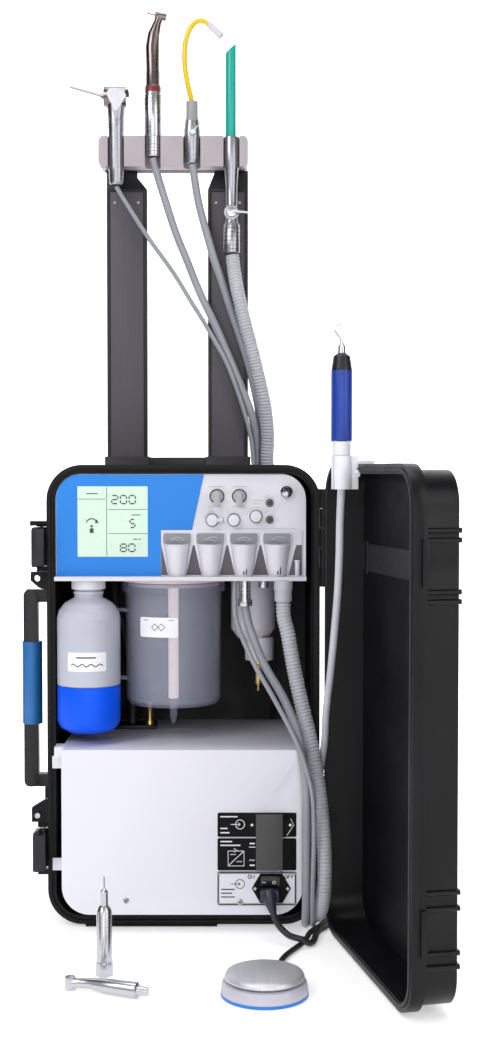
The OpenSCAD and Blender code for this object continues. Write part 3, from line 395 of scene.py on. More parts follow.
# ---- camera, light and floor
def set_camera():
    cam = bpy.data.cameras.new("camera")
    cam.lens, cam.sensor_width, cam.sensor_fit = 50, 36, "AUTO"
    cam.clip_start, cam.clip_end = 0.05, 30
    o = bpy.data.objects.new("camera", cam)
    scene.collection.objects.link(o)
    o.location = CAMERA_AT
    o.rotation_euler = (math.radians(90 - CAMERA_DOWN), 0, 0)
    scene.camera = o


def soft_light(name, place_at, aim, size, power, colour=(1, 1, 1)):
    li = bpy.data.lights.new(name, "AREA")
    li.shape, li.size, li.size_y, li.energy, li.color = "RECTANGLE", size[0], size[1], power, colour
    o = bpy.data.objects.new(name, li)
    scene.collection.objects.link(o)
    o.location = place_at
    o.rotation_euler = (Vector(aim) - Vector(place_at)).to_track_quat("-Z", "Y").to_euler()


def set_studio():
    w = bpy.data.worlds.new("studio")
    scene.world = w
    w.use_nodes = True
    bg = w.node_tree.nodes["Background"]
    bg.inputs["Color"].default_value = (1, 1, 1, 1)
    bg.inputs["Strength"].default_value = 0.48
    soft_light("key", (-1.3, -1.5, 1.9), (0, 0, 0.45), (1.2, 1.2), 24)
    soft_light("fill", (1.7, -1.3, 1.1), (0.05, 0, 0.45), (1.4, 1.6), 15)
    soft_light("front", (0.0, -2.4, 0.9), (0.0, 0, 0.5), (1.6, 1.2), 12)
    soft_light("crown", (0.1, 0.1, 2.4), (0, 0.05, 0.4), (1.4, 1.0), 17)
    pick()
    bpy.ops.mesh.primitive_grid_add(x_subdivisions=2, y_subdivisions=24, size=1, location=(0, 0.6, 0))
    o = bpy.context.active_object
    o.name = "floor_sweep"
    o.scale = (14, 8, 1)
    settle(o, 0)
    # the floor bends up into a wall from bend_y on, round a radius of 1 m
    bend_y, sink, stretch = 1.2, 0.0006, 1.6
    for v in o.data.vertices:
        t = max(0, v.co.y - bend_y)
        a = min(t, math.pi / 2)
        v.co.y = min(v.co.y, bend_y) + math.sin(a)
        v.co.z = -sink + 1 - math.cos(a) + max(0, t - math.pi / 2) * stretch
    settle(o, 60)
    dress(o, floor_pale)
    # dark cards out of the picture, for the blacks and the steel to reflect
    for k, x in enumerate((-1.2, 1.35)):
        pick()
        bpy.ops.mesh.primitive_cube_add(size=1, location=(x, 0.05, 1.15))
        c = bpy.context.active_object
        c.name = "dark_card_%d" % (k + 1)
        c.scale = (0.02, 1.5, 1.9)
        settle(c, 0)
        dress(c, card_dark)
    scene.view_settings.view_transform = "Standard"


set_camera()
set_studio()


# ---- cords and hoses, on the same points as the solids
def smooth_run(pts, k):
    """A curve through all of pts, with k steps from one to the next."""
    p = [np.array(q, float) for q in pts]
    p = [2 * p[0] - p[1]] + p + [2 * p[-1] - p[-2]]
    out = []
    for i in range(1, len(p) - 2):
        a, b, c, d = p[i - 1:i + 3]
        for j in range(k):
            t = j / k
            out.append(0.5 * ((2 * b) + (c - a) * t + (2 * a - 5 * b + 4 * c - d) * t * t
                              + (3 * b - a - 3 * c + d) * t ** 3))
    out.append(p[-2])
    return out


def cord_line(name, pts, dia, material, body="case"):
    """A round cord that rides body, or a mesh without a parent when body is None."""
    cu = bpy.data.curves.new(name, "CURVE")
    cu.dimensions = "3D"
    sp = cu.splines.new("POLY")
    sp.points.add(len(pts) - 1)
    for p, q in zip(sp.points, pts):
        p.co = (q[0] * MM, q[1] * MM, q[2] * MM, 1)
    cu.bevel_depth = dia / 2 * MM
    cu.bevel_resolution = 5
    cu.use_fill_caps = True
    cu.materials.append(material)
    o = bpy.data.objects.new(name, cu)
    scene.collection.objects.link(o)
    if body:
        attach(o, body)
        return o
    pick(o)
    bpy.ops.object.convert(target="MESH")
    return bpy.context.active_object


def coil_turns(centre, radii, heights, start, end):
    """Turns of cord about a point, one per radius, clockwise seen from above; angles in degrees."""
    out = []
    n = len(radii)
    total = start - end + 360 * (n - 1)
    step_angle = 22.5
    steps = int(total / step_angle)
    for i in range(steps + 1):
        f = i / steps * (n - 1)
        a = math.radians(start - total * i / steps)
        k = min(int(f), n - 2)
        t = f - k
        t = t * t * (3 - 2 * t)
        r = radii[k] * (1 - t) + radii[k + 1] * t
        z = heights[k] * (1 - t) + heights[k + 1] * t
        out.append([centre[0] + r * math.cos(a), centre[1] + r * math.sin(a), z])
    return out


def corrugated(name, pts, dia, pitch, groove, material, sides=18):
    """A hose whose wall swells and dips along its length, and the middle line of it."""
    q = np.array(smooth_run(pts, 24))
    seg = np.linalg.norm(np.diff(q, axis=0), axis=1)
    s = np.concatenate([[0], np.cumsum(seg)])
    n = int(s[-1] / pitch) * 4
    si = np.linspace(0, s[-1], n + 1)
    c = np.stack([np.interp(si, s, q[:, k]) for k in range(3)], 1)
    d = np.gradient(c, axis=0)
    d /= np.linalg.norm(d, axis=1)[:, None]
    u = np.array([0, 1.0, 0]) - d[0] * d[0][1]
    u /= np.linalg.norm(u)
    v, ang = [], np.linspace(0, 2 * np.pi, sides, endpoint=False)
    dips = (0.0, 0.15, 1.0, 0.15)
    for i in range(n + 1):
        u = u - d[i] * np.dot(u, d[i])
        u /= np.linalg.norm(u)
        w = np.cross(d[i], u)
        r = dia / 2 - groove * dips[i % 4]
        v += [(c[i] + r * (u * np.cos(a) + w * np.sin(a))) * MM for a in ang]
    f = [[i * sides + a, i * sides + (a + 1) % sides, (i + 1) * sides + (a + 1) % sides, (i + 1) * sides + a]
         for i in range(n) for a in range(sides)]
    f += [list(range(sides))[::-1], [n * sides + a for a in range(sides)]]
    me = bpy.data.meshes.new(name)
    me.from_pydata([tuple(x) for x in v], [], f)
    o = bpy.data.objects.new(name, me)
    scene.collection.objects.link(o)
    settle(o, 60)
    dress(o, material)
    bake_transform(o)
    return o, [tuple(x * MM) for x in c[::4]]


mains_p = [[99.8, -57.5, 33.2], [101.4, -59, 28.5], [104.5, -61.5, 22], [110, -65, 16], [117, -70, 11.6],
           [124.5, -75.5, 10.6], [131.5, -78.5, 9.6], [138, -76, 5], [143, -67, 3.7], [145.8, -54, 3.6],
           [148, -40, 3.6], [152.2, -26.5, 3.6], [159.4, -14.5, 3.6], [165.4, -2, 3.6], [171.4, 10, 3.6],
           [177.4, 21, 3.6], [182.6, 32, 3.6], [186.6, 41.5, 3.6], [189, 50.6, 3.6]]
mains_e = [[251, 107.6, 9.8], [262, 107.6, 6.6], [273, 111.4, 4.8], [280.6, 120, 7], [284.4, 133, 13],
           [285, 148, 18]]
pedal_p = [[104, -177.1, 5.5], [105.6, -168, 4.2], [105.4, -152, 3.1], [105.6, -136, 3.1], [108.5, -121, 3.1],
           [114, -106, 3.1], [120.6, -92, 3.1], [127.6, -78, 3.1], [133.6, -63, 3.1], [137.6, -49, 3.1],
           [140, -38, 3.1], [144.3, -27, 3.1], [151.4, -14.5, 3.1], [157.2, -2, 3.1], [162.6, 11, 3.1],
           [167.4, 24, 3.1], [171.6, 38, 3.1], [174.6, 54, 3.1], [176, 72, 3.1], [175.6, 90, 3.1],
           [174.6, 106, 3.1], [173.8, 122, 3.1], [173.4, 138, 3.1]]
pedal_e = [[205, 117.4, 9.4], [194, 116, 12.4], [184, 113.6, 19], [173, 111, 31], [163, 109.4, 41],
           [152.8, 109, 45]]
suction_p = [[112, -6, 369.2], [112.8, -8, 352], [117.6, -12, 331], [123.8, -15, 295], [133.2, -20, 251],
             [141, -26, 219], [146.6, -31, 190], [151.4, -37, 160], [155, -43, 125], [156.4, -48, 95],
             [156.6, -49, 72], [155.8, -45, 50], [153.7, -36, 31.8], [151.3, -22, 21.6], [151.5, -9.5, 16.2],
             [155.2, -0.5, 15.9], [156.4, 8, 15.7], [159.4, 29, 14], [161.6, 46, 10.8], [162.8, 64, 8.8],
             [163, 84, 8.7], [163, 104, 8.7], [163.2, 124, 10.5], [163.4, 143, 17], [163, 160, 28],
             [162, 174, 45], [160.6, 183, 68], [158, 187, 98], [153, 188, 135], [145, 188, 190],
             [136, 186.6, 250], [127, 183.6, 310], [118.5, 180, 370], [110.5, 177, 430], [101.5, 175.4, 490],
             [97.4, 175, 525], [98, 169.5, 560], [94.6, 162, 592], [90, 157, 615], [78.6, 151.4, 662],
             [68, 150.4, 702], [60.6, 151, 734], [56.6, 153.4, 757], [54.2, 155.8, 777.3]]
motor_p = [[69.4, -6, 364], [71.4, -9, 352], [76, -12, 336], [90, -19, 301], [109.6, -28, 268],
           [121.4, -36, 243], [128, -43, 224], [131.4, -47.6, 205], [134.6, -49, 184], [136.4, -49.4, 160],
           [136.6, -49, 125], [136.6, -48, 90], [136.6, -46, 60], [136.7, -40, 37], [136.7, -29, 17.5],
           [137.4, -14, 7.2], [139.4, 2, 5], [140.6, 20, 4.9], [141, 40, 4.9], [141.4, 62, 4.9],
           [141.6, 84, 4.9], [142, 108, 4.9], [142.6, 130, 5.2], [145, 150, 9.6], [148, 162, 17],
           [149, 170.6, 28], [147.6, 177, 50], [144.5, 178.5, 90], [138, 178.5, 150], [130, 178.5, 210],
           [120.5, 178.5, 270], [110, 178.5, 330], [99.6, 178.5, 390], [91.6, 178.5, 450], [85.8, 178.5, 500],
           [83.4, 177.5, 530], [82.6, 172, 560], [78, 166, 584], [71, 165, 604], [53.9, 164.4, 646],
           [33.2, 162.4, 694], [14.8, 159, 732], [-1.2, 158, 772], [-14.6, 157.5, 805], [-27, 157, 843],
           [-38.4, 156.4, 880], [-42.3, 156, 895.6]]
syringe_p = [[58.4, -3, 392], [57.6, -6, 372], [60.4, -13, 345], [78, -24, 304], [98, -36, 270],
             [115, -46.5, 240], [128, -54.5, 214], [137, -57.6, 188], [143, -57.8, 160], [144.4, -58.4, 125],
             [144, -58, 90], [143.4, -55, 62], [143.4, -48.6, 41], [143.8, -41, 27], [144.4, -32, 16],
             [144.6, -24, 10.9], [144.8, -19, 8.2], [145.1, -14, 5.7], [146.6, -5, 3.3], [148.2, 6, 3.2],
             [149.6, 24, 3.2], [150.4, 44, 3.2], [151, 70, 3.2], [151.2, 98, 3.2], [151.4, 122, 4.4],
             [151.4, 142, 11], [151.2, 156, 26], [151.2, 165, 44], [150.4, 169.6, 66], [144, 169.6, 102],
             [135.4, 168.6, 155], [126.6, 168.6, 215], [117.6, 168.6, 275], [108.6, 168.6, 335],
             [99.6, 168.6, 395], [90.6, 168.6, 450], [82.6, 168.6, 500], [79.8, 168, 530], [77.4, 165.4, 553],
             [70.4, 163, 582], [58.6, 159, 618], [45.6, 158.2, 651], [23.2, 158.4, 691], [2, 159, 725],
             [-17.6, 158.4, 757], [-50.6, 157.4, 803], [-78, 156.6, 846], [-87, 156, 861.3]]
saliva_p = [[5.8, 156, 888], [8.6, 156.4, 868], [13, 157, 842], [20.8, 158, 812], [31, 160, 777],
            [41.8, 162.4, 746], [50.4, 164.4, 718], [62.4, 166.6, 683], [73, 168, 650], [80.6, 171, 620],
            [86.6, 176, 590], [90, 183, 555], [91, 188, 525], [93, 190.4, 500], [97.4, 192, 468],
            [101.6, 192, 440], [105.2, 190.8, 420]]
scaler_p = [[168.4, -130, 499.7], [167.8, -130, 484], [167, -129, 462], [166.8, -126.4, 436],
            [166.4, -122, 411], [165.4, -114.6, 382], [163.8, -105, 354], [162.2, -93.6, 326],
            [160.4, -80, 297], [158.6, -65, 272], [157.4, -50, 247], [157.4, -31, 218], [154.8, -17, 190],
            [150.5, -11, 162], [147.4, -9.6, 136], [144.4, -9.6, 116], [140.6, -8, 101], [138.8, -2, 91.6],
            [138.6, 8, 87.6], [138.6, 20, 87], [138.6, 34, 87]]


def lay_cords():
    mains = (mains_p[:-1] + coil_turns((236, 64), [48, 45.5, 38.5, 31.5, 31.5, 38.5, 45.5],
                                       [3.6, 3.6, 3.6, 3.6, 10.7, 10.7, 10.7], 194, 82) + mains_e)
    mains = smooth_run(mains, 3)
    o = cord_line("mains_lead", mains, 7, rubber_black)
    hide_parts("mains_cord", "mains_coil")
    pedal = (pedal_p[:-1] + coil_turns((214, 156), [39.6, 38.9, 32.9, 26.9, 26.9, 32.9, 38.9],
                                       [3.1, 3.1, 3.1, 3.1, 9.2, 9.2, 9.2], 200, 266) + pedal_e)
    pedal = smooth_run(pedal, 3)
    o = cord_line("pedal_tube", pedal, 6, rubber_black)
    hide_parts("pedal_cord", "pedal_coil")
    # each row also gives the body, mast or door, that carries the hose's far end, and two heights, low then
    # high;
    # nothing reads these three, and each hose is laid as a mesh without a parent
    for name, pts, dia, node, finish, carrier, low, high in (
            ("motor_cord", motor_p, 9.5, "motor_hose", hose_grey, "mast", 0.40, 0.885),
            ("syringe_tube", syringe_p, 5.5, "syringe_hose", hose_grey, "mast", 0.40, 0.85),
            ("saliva_line", saliva_p, 9.5, "saliva_hose", hose_grey, "mast", 0.42, 0.88),
            ("scaler_line", scaler_p, 8, "scaler_cable", cable_white, "door", 0.16, 0.42)):
        q = smooth_run(pts, 4)
        o = cord_line(name, q, dia, finish, None)
        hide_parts(node)
        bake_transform(o)
    o, path = corrugated("suction_line", suction_p, 17, 3.9, 1.2, hose_pale)
    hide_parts("suction_hose")


lay_cords()


# ---- the solids, each with its edges moulded and its own finish
def finish_nodes():
    plan = {
        "case_shell": (1.1, case_black), "mast_guides": (0.8, trim_black), "pivot_pins": (0.3, pin_steel),
        "control_head": (0.9, panel_white), "instrument_holders": (0.5, panel_white),
        "vessel_lids": (0.5, panel_white), "separator": (1.0, panel_white), "air_fittings": (0.6, brass),
        "equipment_cover": (0.8, cover_white), "compressor": (1.2, machine_grey),
        "power_supply": (1.0, machine_grey), "input_plates": (0.35, plate_black), "mains_plug": (1.0, plug_navy),
        "wall_plug": (0.8, rubber_black), "pedal_base": (0.5, pedal_side), "pedal_disc": (0.7, disc_steel),
        "hose_connectors": (0.4, steel), "door_shell": (1.3, lid_black),
        "door_seal": (0.3, rubber_black), "scaler_holder": (0.8, holder_white),
        "scaler_handpiece": (0.5, scaler_blue), "mast_posts": (0.6, post_black),
        "instrument_bar": (2.2, bar_lilac), "syringe_body": (0.5, steel_satin),
        "motor_handpiece": (0.4, steel_dark), "saliva_valve": (0.4, steel_satin),
        "saliva_tip": (0.0, tip_yellow), "suction_valve": (0.4, steel_satin), "suction_tip": (0.2, tip_green),
        "power_rocker": (0.5, black_gloss), "upper_latch": (0.8, trim_black), "lower_latch": (0.8, trim_black),
        "side_handle": (1.2, trim_black), "left_wheel": (0.8, rubber_black), "right_wheel": (0.8, rubber_black),
        "air_lever": (0.7, knob_grey), "water_lever": (0.7, knob_grey), "drive_dial": (0.5, knob_pale),
        "coolant_dial": (0.5, knob_pale), "pressure_dial": (0.5, knob_pale),
        "upper_needle": (0.3, print_black), "lower_needle": (0.3, print_black),
        "air_button": (0.4, trim_black), "water_button": (0.4, trim_black),
        "saliva_lever": (0.3, steel), "suction_lever": (0.3, steel), "bottle_boot": (0.6, boot_blue),
        "spare_handpieces": (0.3, steel),
    }
    home, done = {}, {}
    for b, nodes in frame["record"]["behaviour"]["bodies"].items():
        for n in nodes:
            home[n] = b
    for node, (w, finish) in plan.items():
        o = softened(node, w)
        place(o, home[node], finish)
        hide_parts(node)
        done[node] = o
    paint_node("display_panel", overlay_blue)
    paint_node("water_bottle", bottle_frost)
    paint_node("waste_jar", jar_frost)
    return done


finished = finish_nodes()


# ---- printed marks, painted highlight and painted shade, inlays and small fittings, with places in mm and angles in degrees
HINGE_X, DOOR_ANGLE = 157.5, 102
BOTTLE_AXIS, JAR_AXIS, PEDAL_AXIS = (-107.5, 10), (-13.7, 55), (88, -217)
HOLDERS_X = (-6.9, 30.4, 68.2, 105.2)
POSTS_X, POST_FACE_Y = (-100.5, 24.0), 173.5
INSTRUMENTS_Y, SYRINGE_X, MOTOR_X, SUCTION_X = 156, -87, -42.3, 53.2
GRIP_X, GRIP_Y, GRIP_RADIUS = -178.5, 60, 11.5


def ribbon(name, pts, w, y, thick=0.2, closed=False):
    """A flat line of width w that looks at the viewer, along the points (x, z)."""
    n = len(pts)
    v = []
    for i, (x, z) in enumerate(pts):
        a = pts[(i - 1) % n] if closed or i else pts[i]
        b = pts[(i + 1) % n] if closed or i < n - 1 else pts[i]
        dx, dz = b[0] - a[0], b[1] - a[1]
        d = math.hypot(dx, dz) or 1
        ox, oz = -dz / d * w / 2, dx / d * w / 2
        v += [((x + ox) * MM, y * MM, (z + oz) * MM), ((x - ox) * MM, y * MM, (z - oz) * MM)]
    f = [(2 * i, 2 * i + 1, 2 * j + 1, 2 * j) for i, j in
         [(i, (i + 1) % n) for i in range(n if closed else n - 1)]]
    return settle(extruded(name, v, f, thick), 0)


def dashes(name, y, *rows):
    """Level lines; a row is the x of both ends, z and the width."""
    return [ribbon(name, [(x0, z), (x1, z)], w, y) for x0, x1, z, w in rows]


def ring_pts(cx, cz, r, a0=0, a1=360, n=28):
    return [(cx + r * math.cos(math.radians(a0 + (a1 - a0) * i / n)),
             cz + r * math.sin(math.radians(a0 + (a1 - a0) * i / n))) for i in range(n + 1)]


def ring(name, cx, cz, r, w, y, a0=0, a1=360, thick=0.2):
    """A flat ring, or the arc of it from a0 to a1."""
    if a1 - a0 >= 360:
        return ribbon(name, ring_pts(cx, cz, r)[:-1], w, y, thick, True)
    return ribbon(name, ring_pts(cx, cz, r, a0, a1), w, y, thick)


def plate(name, x0, x1, z0, z1, y, thick, r):
    return outline_plate(name, corners(x0, x1, z0, z1, r), y, thick)


def rolled(o, cx, cy, r):
    """Wraps a flat mark, drawn at y near 0, round an upright cylinder."""
    for v in o.data.vertices:
        a = (v.co.x / MM - cx) / r
        d = r - v.co.y / MM
        v.co.x = (cx + d * math.sin(a)) * MM
        v.co.y = (cy - d * math.cos(a)) * MM
    return o


def label(name, x0, x1, z0, z1, r, cx, cy, rad):
    """A label with corners of radius r, wrapped round an upright cylinder of radius rad."""
    xs = [x0 + r * (1 - math.cos(math.radians(t))) for t in range(0, 91, 18)]
    xs += [x0 + r + (x1 - x0 - 2 * r) * i / 16 for i in range(1, 16)]
    xs += [x1 - r * (1 - math.cos(math.radians(t))) for t in range(90, -1, -18)]
    y, thick = -0.3, 0.25
    v = []
    for x in xs:
        e = min(x - x0, x1 - x, r)
        d = r - math.sqrt(max(0, r * r - (r - e) ** 2))
        v += [(x * MM, y * MM, (z0 + d) * MM), (x * MM, y * MM, (z1 - d) * MM)]
    f = [(2 * i, 2 * i + 2, 2 * i + 3, 2 * i + 1) for i in range(len(xs) - 1)]
    return settle(rolled(extruded(name, v, f, thick), cx, cy, rad))


def digit(ch, x, z, w, h, t, y):
    """A numeral of seven segments."""
    m = z + h / 2
    g = t * 0.55
    ends = {"a": ((x + g, z + h), (x + w - g, z + h)), "g": ((x + g, m), (x + w - g, m)),
            "d": ((x + g, z), (x + w - g, z)), "f": ((x, m + g), (x, z + h - g)),
            "e": ((x, z + g), (x, m - g)), "b": ((x + w, m + g), (x + w, z + h - g)),
            "c": ((x + w, z + g), (x + w, m - g))}
    segments = {"0": "abcdef", "2": "abged", "5": "afgcd", "8": "abcdefg"}[ch]
    return [ribbon("segment", ends[k], t, y) for k in segments]


def letter(ch, x, z, w, h, t, y):
    """The strokes of O, N or F."""
    twelfth = 0.5236
    if ch == "O":
        strokes = [[(x + w / 2 + w / 2 * math.cos(k * twelfth), z + h / 2 + h / 2 * math.sin(k * twelfth))
                    for k in range(12)]]
    elif ch == "N":
        strokes = [[(x, z), (x, z + h), (x + w, z), (x + w, z + h)]]
    else:
        strokes = [[(x, z), (x, z + h), (x + w, z + h)], [(x, z + h * 0.55), (x + w * 0.8, z + h * 0.55)]]
    return [ribbon("letter", pts, t, y, closed=ch == "O") for pts in strokes]


def faces_as(o, material, test):
    """Gives the faces whose middle (x, y, z) passes the test another finish."""
    o.data.materials.append(material)
    k = len(o.data.materials) - 1
    for p in o.data.polygons:
        c = p.center / MM
        if test(c.x, c.y, c.z):
            p.material_index = k


def opened(o):
    """Swings a piece drawn on the closed door to where the open door carries it."""
    at = Vector((HINGE_X * MM, 0, 0))
    swing = Matrix.Rotation(math.radians(DOOR_ANGLE), 4, "Z")
    o.matrix_world = Matrix.Translation(at) @ swing @ Matrix.Translation(-at)
    return settle(o, 0)


def show_display():
    place(plate("display_glass", -118.7, -39.9, 418.7, 497.8, 1.3, 0.28, 0.5), "case", display_pale)
    y = 1.14
    m = [ribbon("line", [(-86, 419.6), (-86, 497.4)], 0.6, y)]
    m += dashes("line", y, (-118.5, -87.6, 483.5, 0.6), (-84.3, -40.4, 471.8, 0.5),
                (-84.3, -40.4, 444.8, 0.5))
    for ch, x, z, w, h in (("2", -80.2, 478.4, 6.8, 9), ("0", -70.4, 478.4, 6.8, 9),
                           ("0", -60.6, 478.4, 6.8, 9), ("5", -59.8, 451.6, 5.4, 9),
                           ("8", -70.6, 424.6, 6.8, 8.4), ("0", -61.2, 424.6, 6.8, 8.4)):
        m += digit(ch, x, z, w, h, 1.5, y)
    m.append(ring("arrow", -102.8, 455, 6.4, 1.3, y, 20, 160))
    m.append(outline_plate("arrow", [(-99.2, 456.8), (-94.9, 456.6), (-97.6, 460.9)], y, 0.2))
    m += [plate("figure", -104.2, -101.4, 451.6, 454.4, y, 0.2, 1.3),
          plate("figure", -105, -100.6, 445.4, 450.8, y, 0.2, 1.2)]
    m += dashes("dash", y, (-56, -51.4, 438.4, 1.1), (-50, -47.6, 438.4, 1.1), (-109, -96, 489.6, 1.1),
                (-58, -48, 465.6, 1.0))
    place(join("display_marks", m), "case", digit_grey)


def mark_panel():
    y = 1.82
    m = [ring("mark", x, 486.5, 7.7, 1.5, y, -55, 235) for x in (37.9, 63)]
    m += [ring("mark", x, z, 7.1, 0.8, y) for x, z in ((32.5, 460), (56.8, 460), (81.7, 464))]
    m += [ring("mark", 97, z, 4.1, 1.0, y) for z in (479.2, 460.3)]
    m += [ribbon("mark", [(42.4, 460), (44.8, 462.2), (44.8, 457.8), (42.4, 460)], 0.9, y)]
    place(join("panel_rings", m), "case", print_black)
    m = [ring("mark", 32.5, 460, 9.4, 0.7, y, 60, 170), ring("mark", 81.7, 464, 10.2, 0.7, y, 70, 170),
         ribbon("mark", [(91.4, 485.6), (95.6, 488.6)], 0.9, y),
         ribbon("mark", [(91.4, 468), (95.6, 470.4)], 0.9, y)]
    m += dashes("mark", y, (78, 88, 482, 0.8), (78, 86, 478.6, 0.8))
    m += [ring("mark", 97, 479.2, 6.6, 0.6, y, 40, 140), ring("mark", 97, 460.3, 6.6, 0.6, y, -40, 60),
          ribbon("mark", [(104.6, 458), (107, 460.3), (104.6, 462.6)], 0.7, y),
          ribbon("mark", [(59, 448.6), (59, 450.6), (127, 450.6), (127, 444)], 0.7, y)]
    m += dashes("mark", y, (28, 44, 475, 0.8), (55, 70, 475, 0.8), (28, 46, 497.6, 0.8),
                (55, 71, 497.6, 0.8))
    place(join("panel_lines", m), "case", print_grey)
    steps = [(0, 6.9), (1.2, 6.8), (2.6, 6.0), (3.8, 4.2), (4.4, 1.8), (4.6, 0.1)]
    o = turned("display_dome", steps, (115.8, -0.9, 491.4), "-y")
    place(o, "case", steel)
    # painted reflection: the upper half of the steel dome is black gloss, for the dark it reflects
    faces_as(o, black_gloss, lambda x, y, z: z > 491.8 and y < -1.4)


def mark_holders():
    foot = 398.2
    outlines = [[(-24.7, foot), (-17.4, foot), (-24.7, 432)]]
    outlines += [[(c - 8.6, foot), (c + 8.6, foot), (c + 0.9, 431.7), (c - 0.9, 431.7)]
                 for c in (11.75, 49.3, 86.7)]
    outlines += [[(118.4, foot), (133.2, foot), (133.2, 432), (127, 432), (124.6, 424)]]
    m = [outline_plate("recess", pts, 0.66, 0.3) for pts in outlines]
    place(join("holder_recesses", m), "case", recess_dark)
    m = [plate("tab", x - 15.6, x + 15.6, 433.6, 445.2, -1.34, 0.36, 2.4) for x in HOLDERS_X]
    place(join("holder_tabs", m), "case", tab_grey)
    y = -1.5
    m = []
    for k, x in enumerate(HOLDERS_X):
        arc = [(x - 8 + 16 * i / 10, 438.4 + 2.4 * math.sin(i / 10 * math.pi) + 0.35 * (k % 2) * (i - 5))
               for i in range(11)]
        wave = [(x - 7, 437.2), (x - 1.5, 438.6), (x + 4, 436.6), (x + 8.6, 437.4)]
        m += [ribbon("icon", arc, 1.1, y), ribbon("icon", wave, 0.8, y)]
    place(join("holder_icons", m), "case", print_grey)
    # painted shade: the slots in the funnels are thin black plates, dark where the openings lie in shade
    m = [block("slit", x - 2.2 + d, x - 0.8 + d, -9.75, -9.2, 399.4, 410, 0.2)
         for x in (69.3, 107.4) for d in (0, 2.9)]
    place(join("holder_slits", m), "case", print_black)


def mark_vessels():
    y = -0.5
    radius = 35.7
    place(label("bottle_label", -128.8, -83.5, 292.5, 313.7, 2.4, *BOTTLE_AXIS, radius),
          "bottle", label_white)
    m = [ribbon("wave", [(-124 + i * 2, 299.4 + 1.6 * math.sin(i * 1.25)) for i in range(19)], 1.1, y),
         ribbon("line", [(-118 + i * 2, 308) for i in range(12)], 1.5, y)]
    place(rolled(join("bottle_label_marks", m), *BOTTLE_AXIS, radius), "bottle", print_black)
    radius = 55.4
    place(label("jar_label", -51.9, -5.9, 327.6, 350.1, 2.6, *JAR_AXIS, radius),
          "waste_jar_body", label_white)
    m = [ribbon("diamond", [(c, 343), (c + 3.9, 339.1), (c, 335.2), (c - 3.9, 339.1)], 1.0, y, closed=True)
         for c in (-32.6, -24.8)]
    m += dashes("arrow", y, (-46.4, -41, 347, 0.6), (-16.4, -11, 347, 0.6))
    place(rolled(join("jar_label_marks", m), *JAR_AXIS, radius), "waste_jar_body", print_black)
    place(band("jar_gasket", (*JAR_AXIS, 387.66), 59.0, 0.45, sides=64), "case", gasket_red)
    steps = [(251, 5.3), (251.4, 5.9), (382, 5.9), (383, 5.5)]
    place(turned("jar_tube", steps, (*JAR_AXIS, 0)), "case", tube_rose)
    place(band("separator_line", (86.5, 80, 321.4), 17.1, 0.45), "case", gasket_red)


def mark_input_plates():
    plates = finished["input_plates"]
    screws = ((76.9, 125.7), (119, 125.7), (80.2, 54.8), (116.2, 54.8))
    faces_as(plates, shutter_grey, lambda x, y, z: 80 < x < 111.5 and y < -41.5 and z > 74.5)
    faces_as(plates, steel, lambda x, y, z: y < -42.75 and any(
        abs(x - a) < 2 and abs(z - b) < 2 for a, b in screws))
    left = [(39.9, 37), (85.9, 37), (85.9, 38.6), (76.6, 54.8), (85.9, 71), (85.9, 72), (39.9, 72)]
    right = [(124.8, 37), (124.8, 72), (110.5, 72), (110.5, 71), (119.8, 54.8), (110.5, 38.6), (110.5, 37)]
    m = [outline_plate("white", pts, -41.1, 0.28) for pts in (left, right)]
    m += [plate("white", 85.9, 110.5, z0, z1, -41.1, 0.28, 0.1) for z0, z1 in ((71, 72), (37, 38.6))]
    place(join("inlet_plate", m), "case", cover_white)
    y = -41.25
    m = [ribbon("edge", corners(40.4, 124.3, 37.6, 71.4, 2), 0.7, y, closed=True),
         ring("icon", 63.7, 59.6, 5, 0.8, y), *dashes("icon", y, (53.4, 63.4, 59.6, 0.8)),
         ribbon("icon", [(61.6, 61.4), (63.9, 59.6), (61.6, 57.8)], 0.8, y)]
    m += dashes("line", y, (43, 58, 53.6, 1.3), (43, 55, 49.4, 1.3), (43, 58, 45.2, 1.3))
    for x0, w, word in ((72.6, 3.0, "ON"), (113.2, 2.6, "OFF")):
        for k, ch in enumerate(word):
            m += letter(ch, x0 + k * (w + 1.1), 65.6, w, 4.2, 0.95, y)
    place(join("inlet_marks", m), "case", print_black)
    y = -40.98
    m = [ring("icon", 63.7, 125.8, 5, 0.8, y), *dashes("icon", y, (53.4, 63.4, 125.8, 0.8)),
         ribbon("icon", [(61.6, 127.6), (63.9, 125.8), (61.6, 124)], 0.8, y),
         ribbon("icon", [(50.6, 79.7), (68.1, 79.7), (68.1, 96.3), (50.6, 96.3)], 0.9, y, closed=True),
         ribbon("icon", [(50.6, 79.7), (68.1, 96.3)], 0.8, y),
         ribbon("icon", [(57, 99), (60.6, 97), (57, 95)], 0.8, y),
         *dashes("icon", y, (53, 59, 92.4, 0.7)),
         ribbon("icon", [(60, 84), (62, 85), (64, 84), (66, 85)], 0.7, y),
         *dashes("icon", y, (74.4, 80, 104.6, 1.6), (73.6, 80.6, 100.6, 0.8), (74.4, 80, 80.4, 1.6)),
         ribbon("icon", [(74, 85.4), (76, 86.8), (78, 85.4), (80, 86.8)], 0.8, y)]
    m += dashes("line", y, (42, 61, 134.4, 1.4), (42, 50, 121.4, 1.4), (42, 52, 116.6, 1.4),
                (42, 55, 106.8, 1.4), (42, 64, 102.6, 1.4))
    place(join("input_marks", m), "case", icon_pale)
    # painted highlight: a pale line where the edge of the hex catches the light
    place(ribbon("hex_edge_painted_highlight", [(119.4, 132.6), (122.9, 125.4), (115.4, 114)], 0.9, -42.35),
          "case", print_grey)
    y = -43.35
    place(ribbon("rocker_dash", [(88.6, 61.9), (91.8, 61.9)], 0.8, y, 0.3),
          "power_rocker_body", icon_pale)
    place(ring("rocker_ring", 101.2, 61.9, 1.6, 0.7, y, thick=0.3), "power_rocker_body", icon_pale)


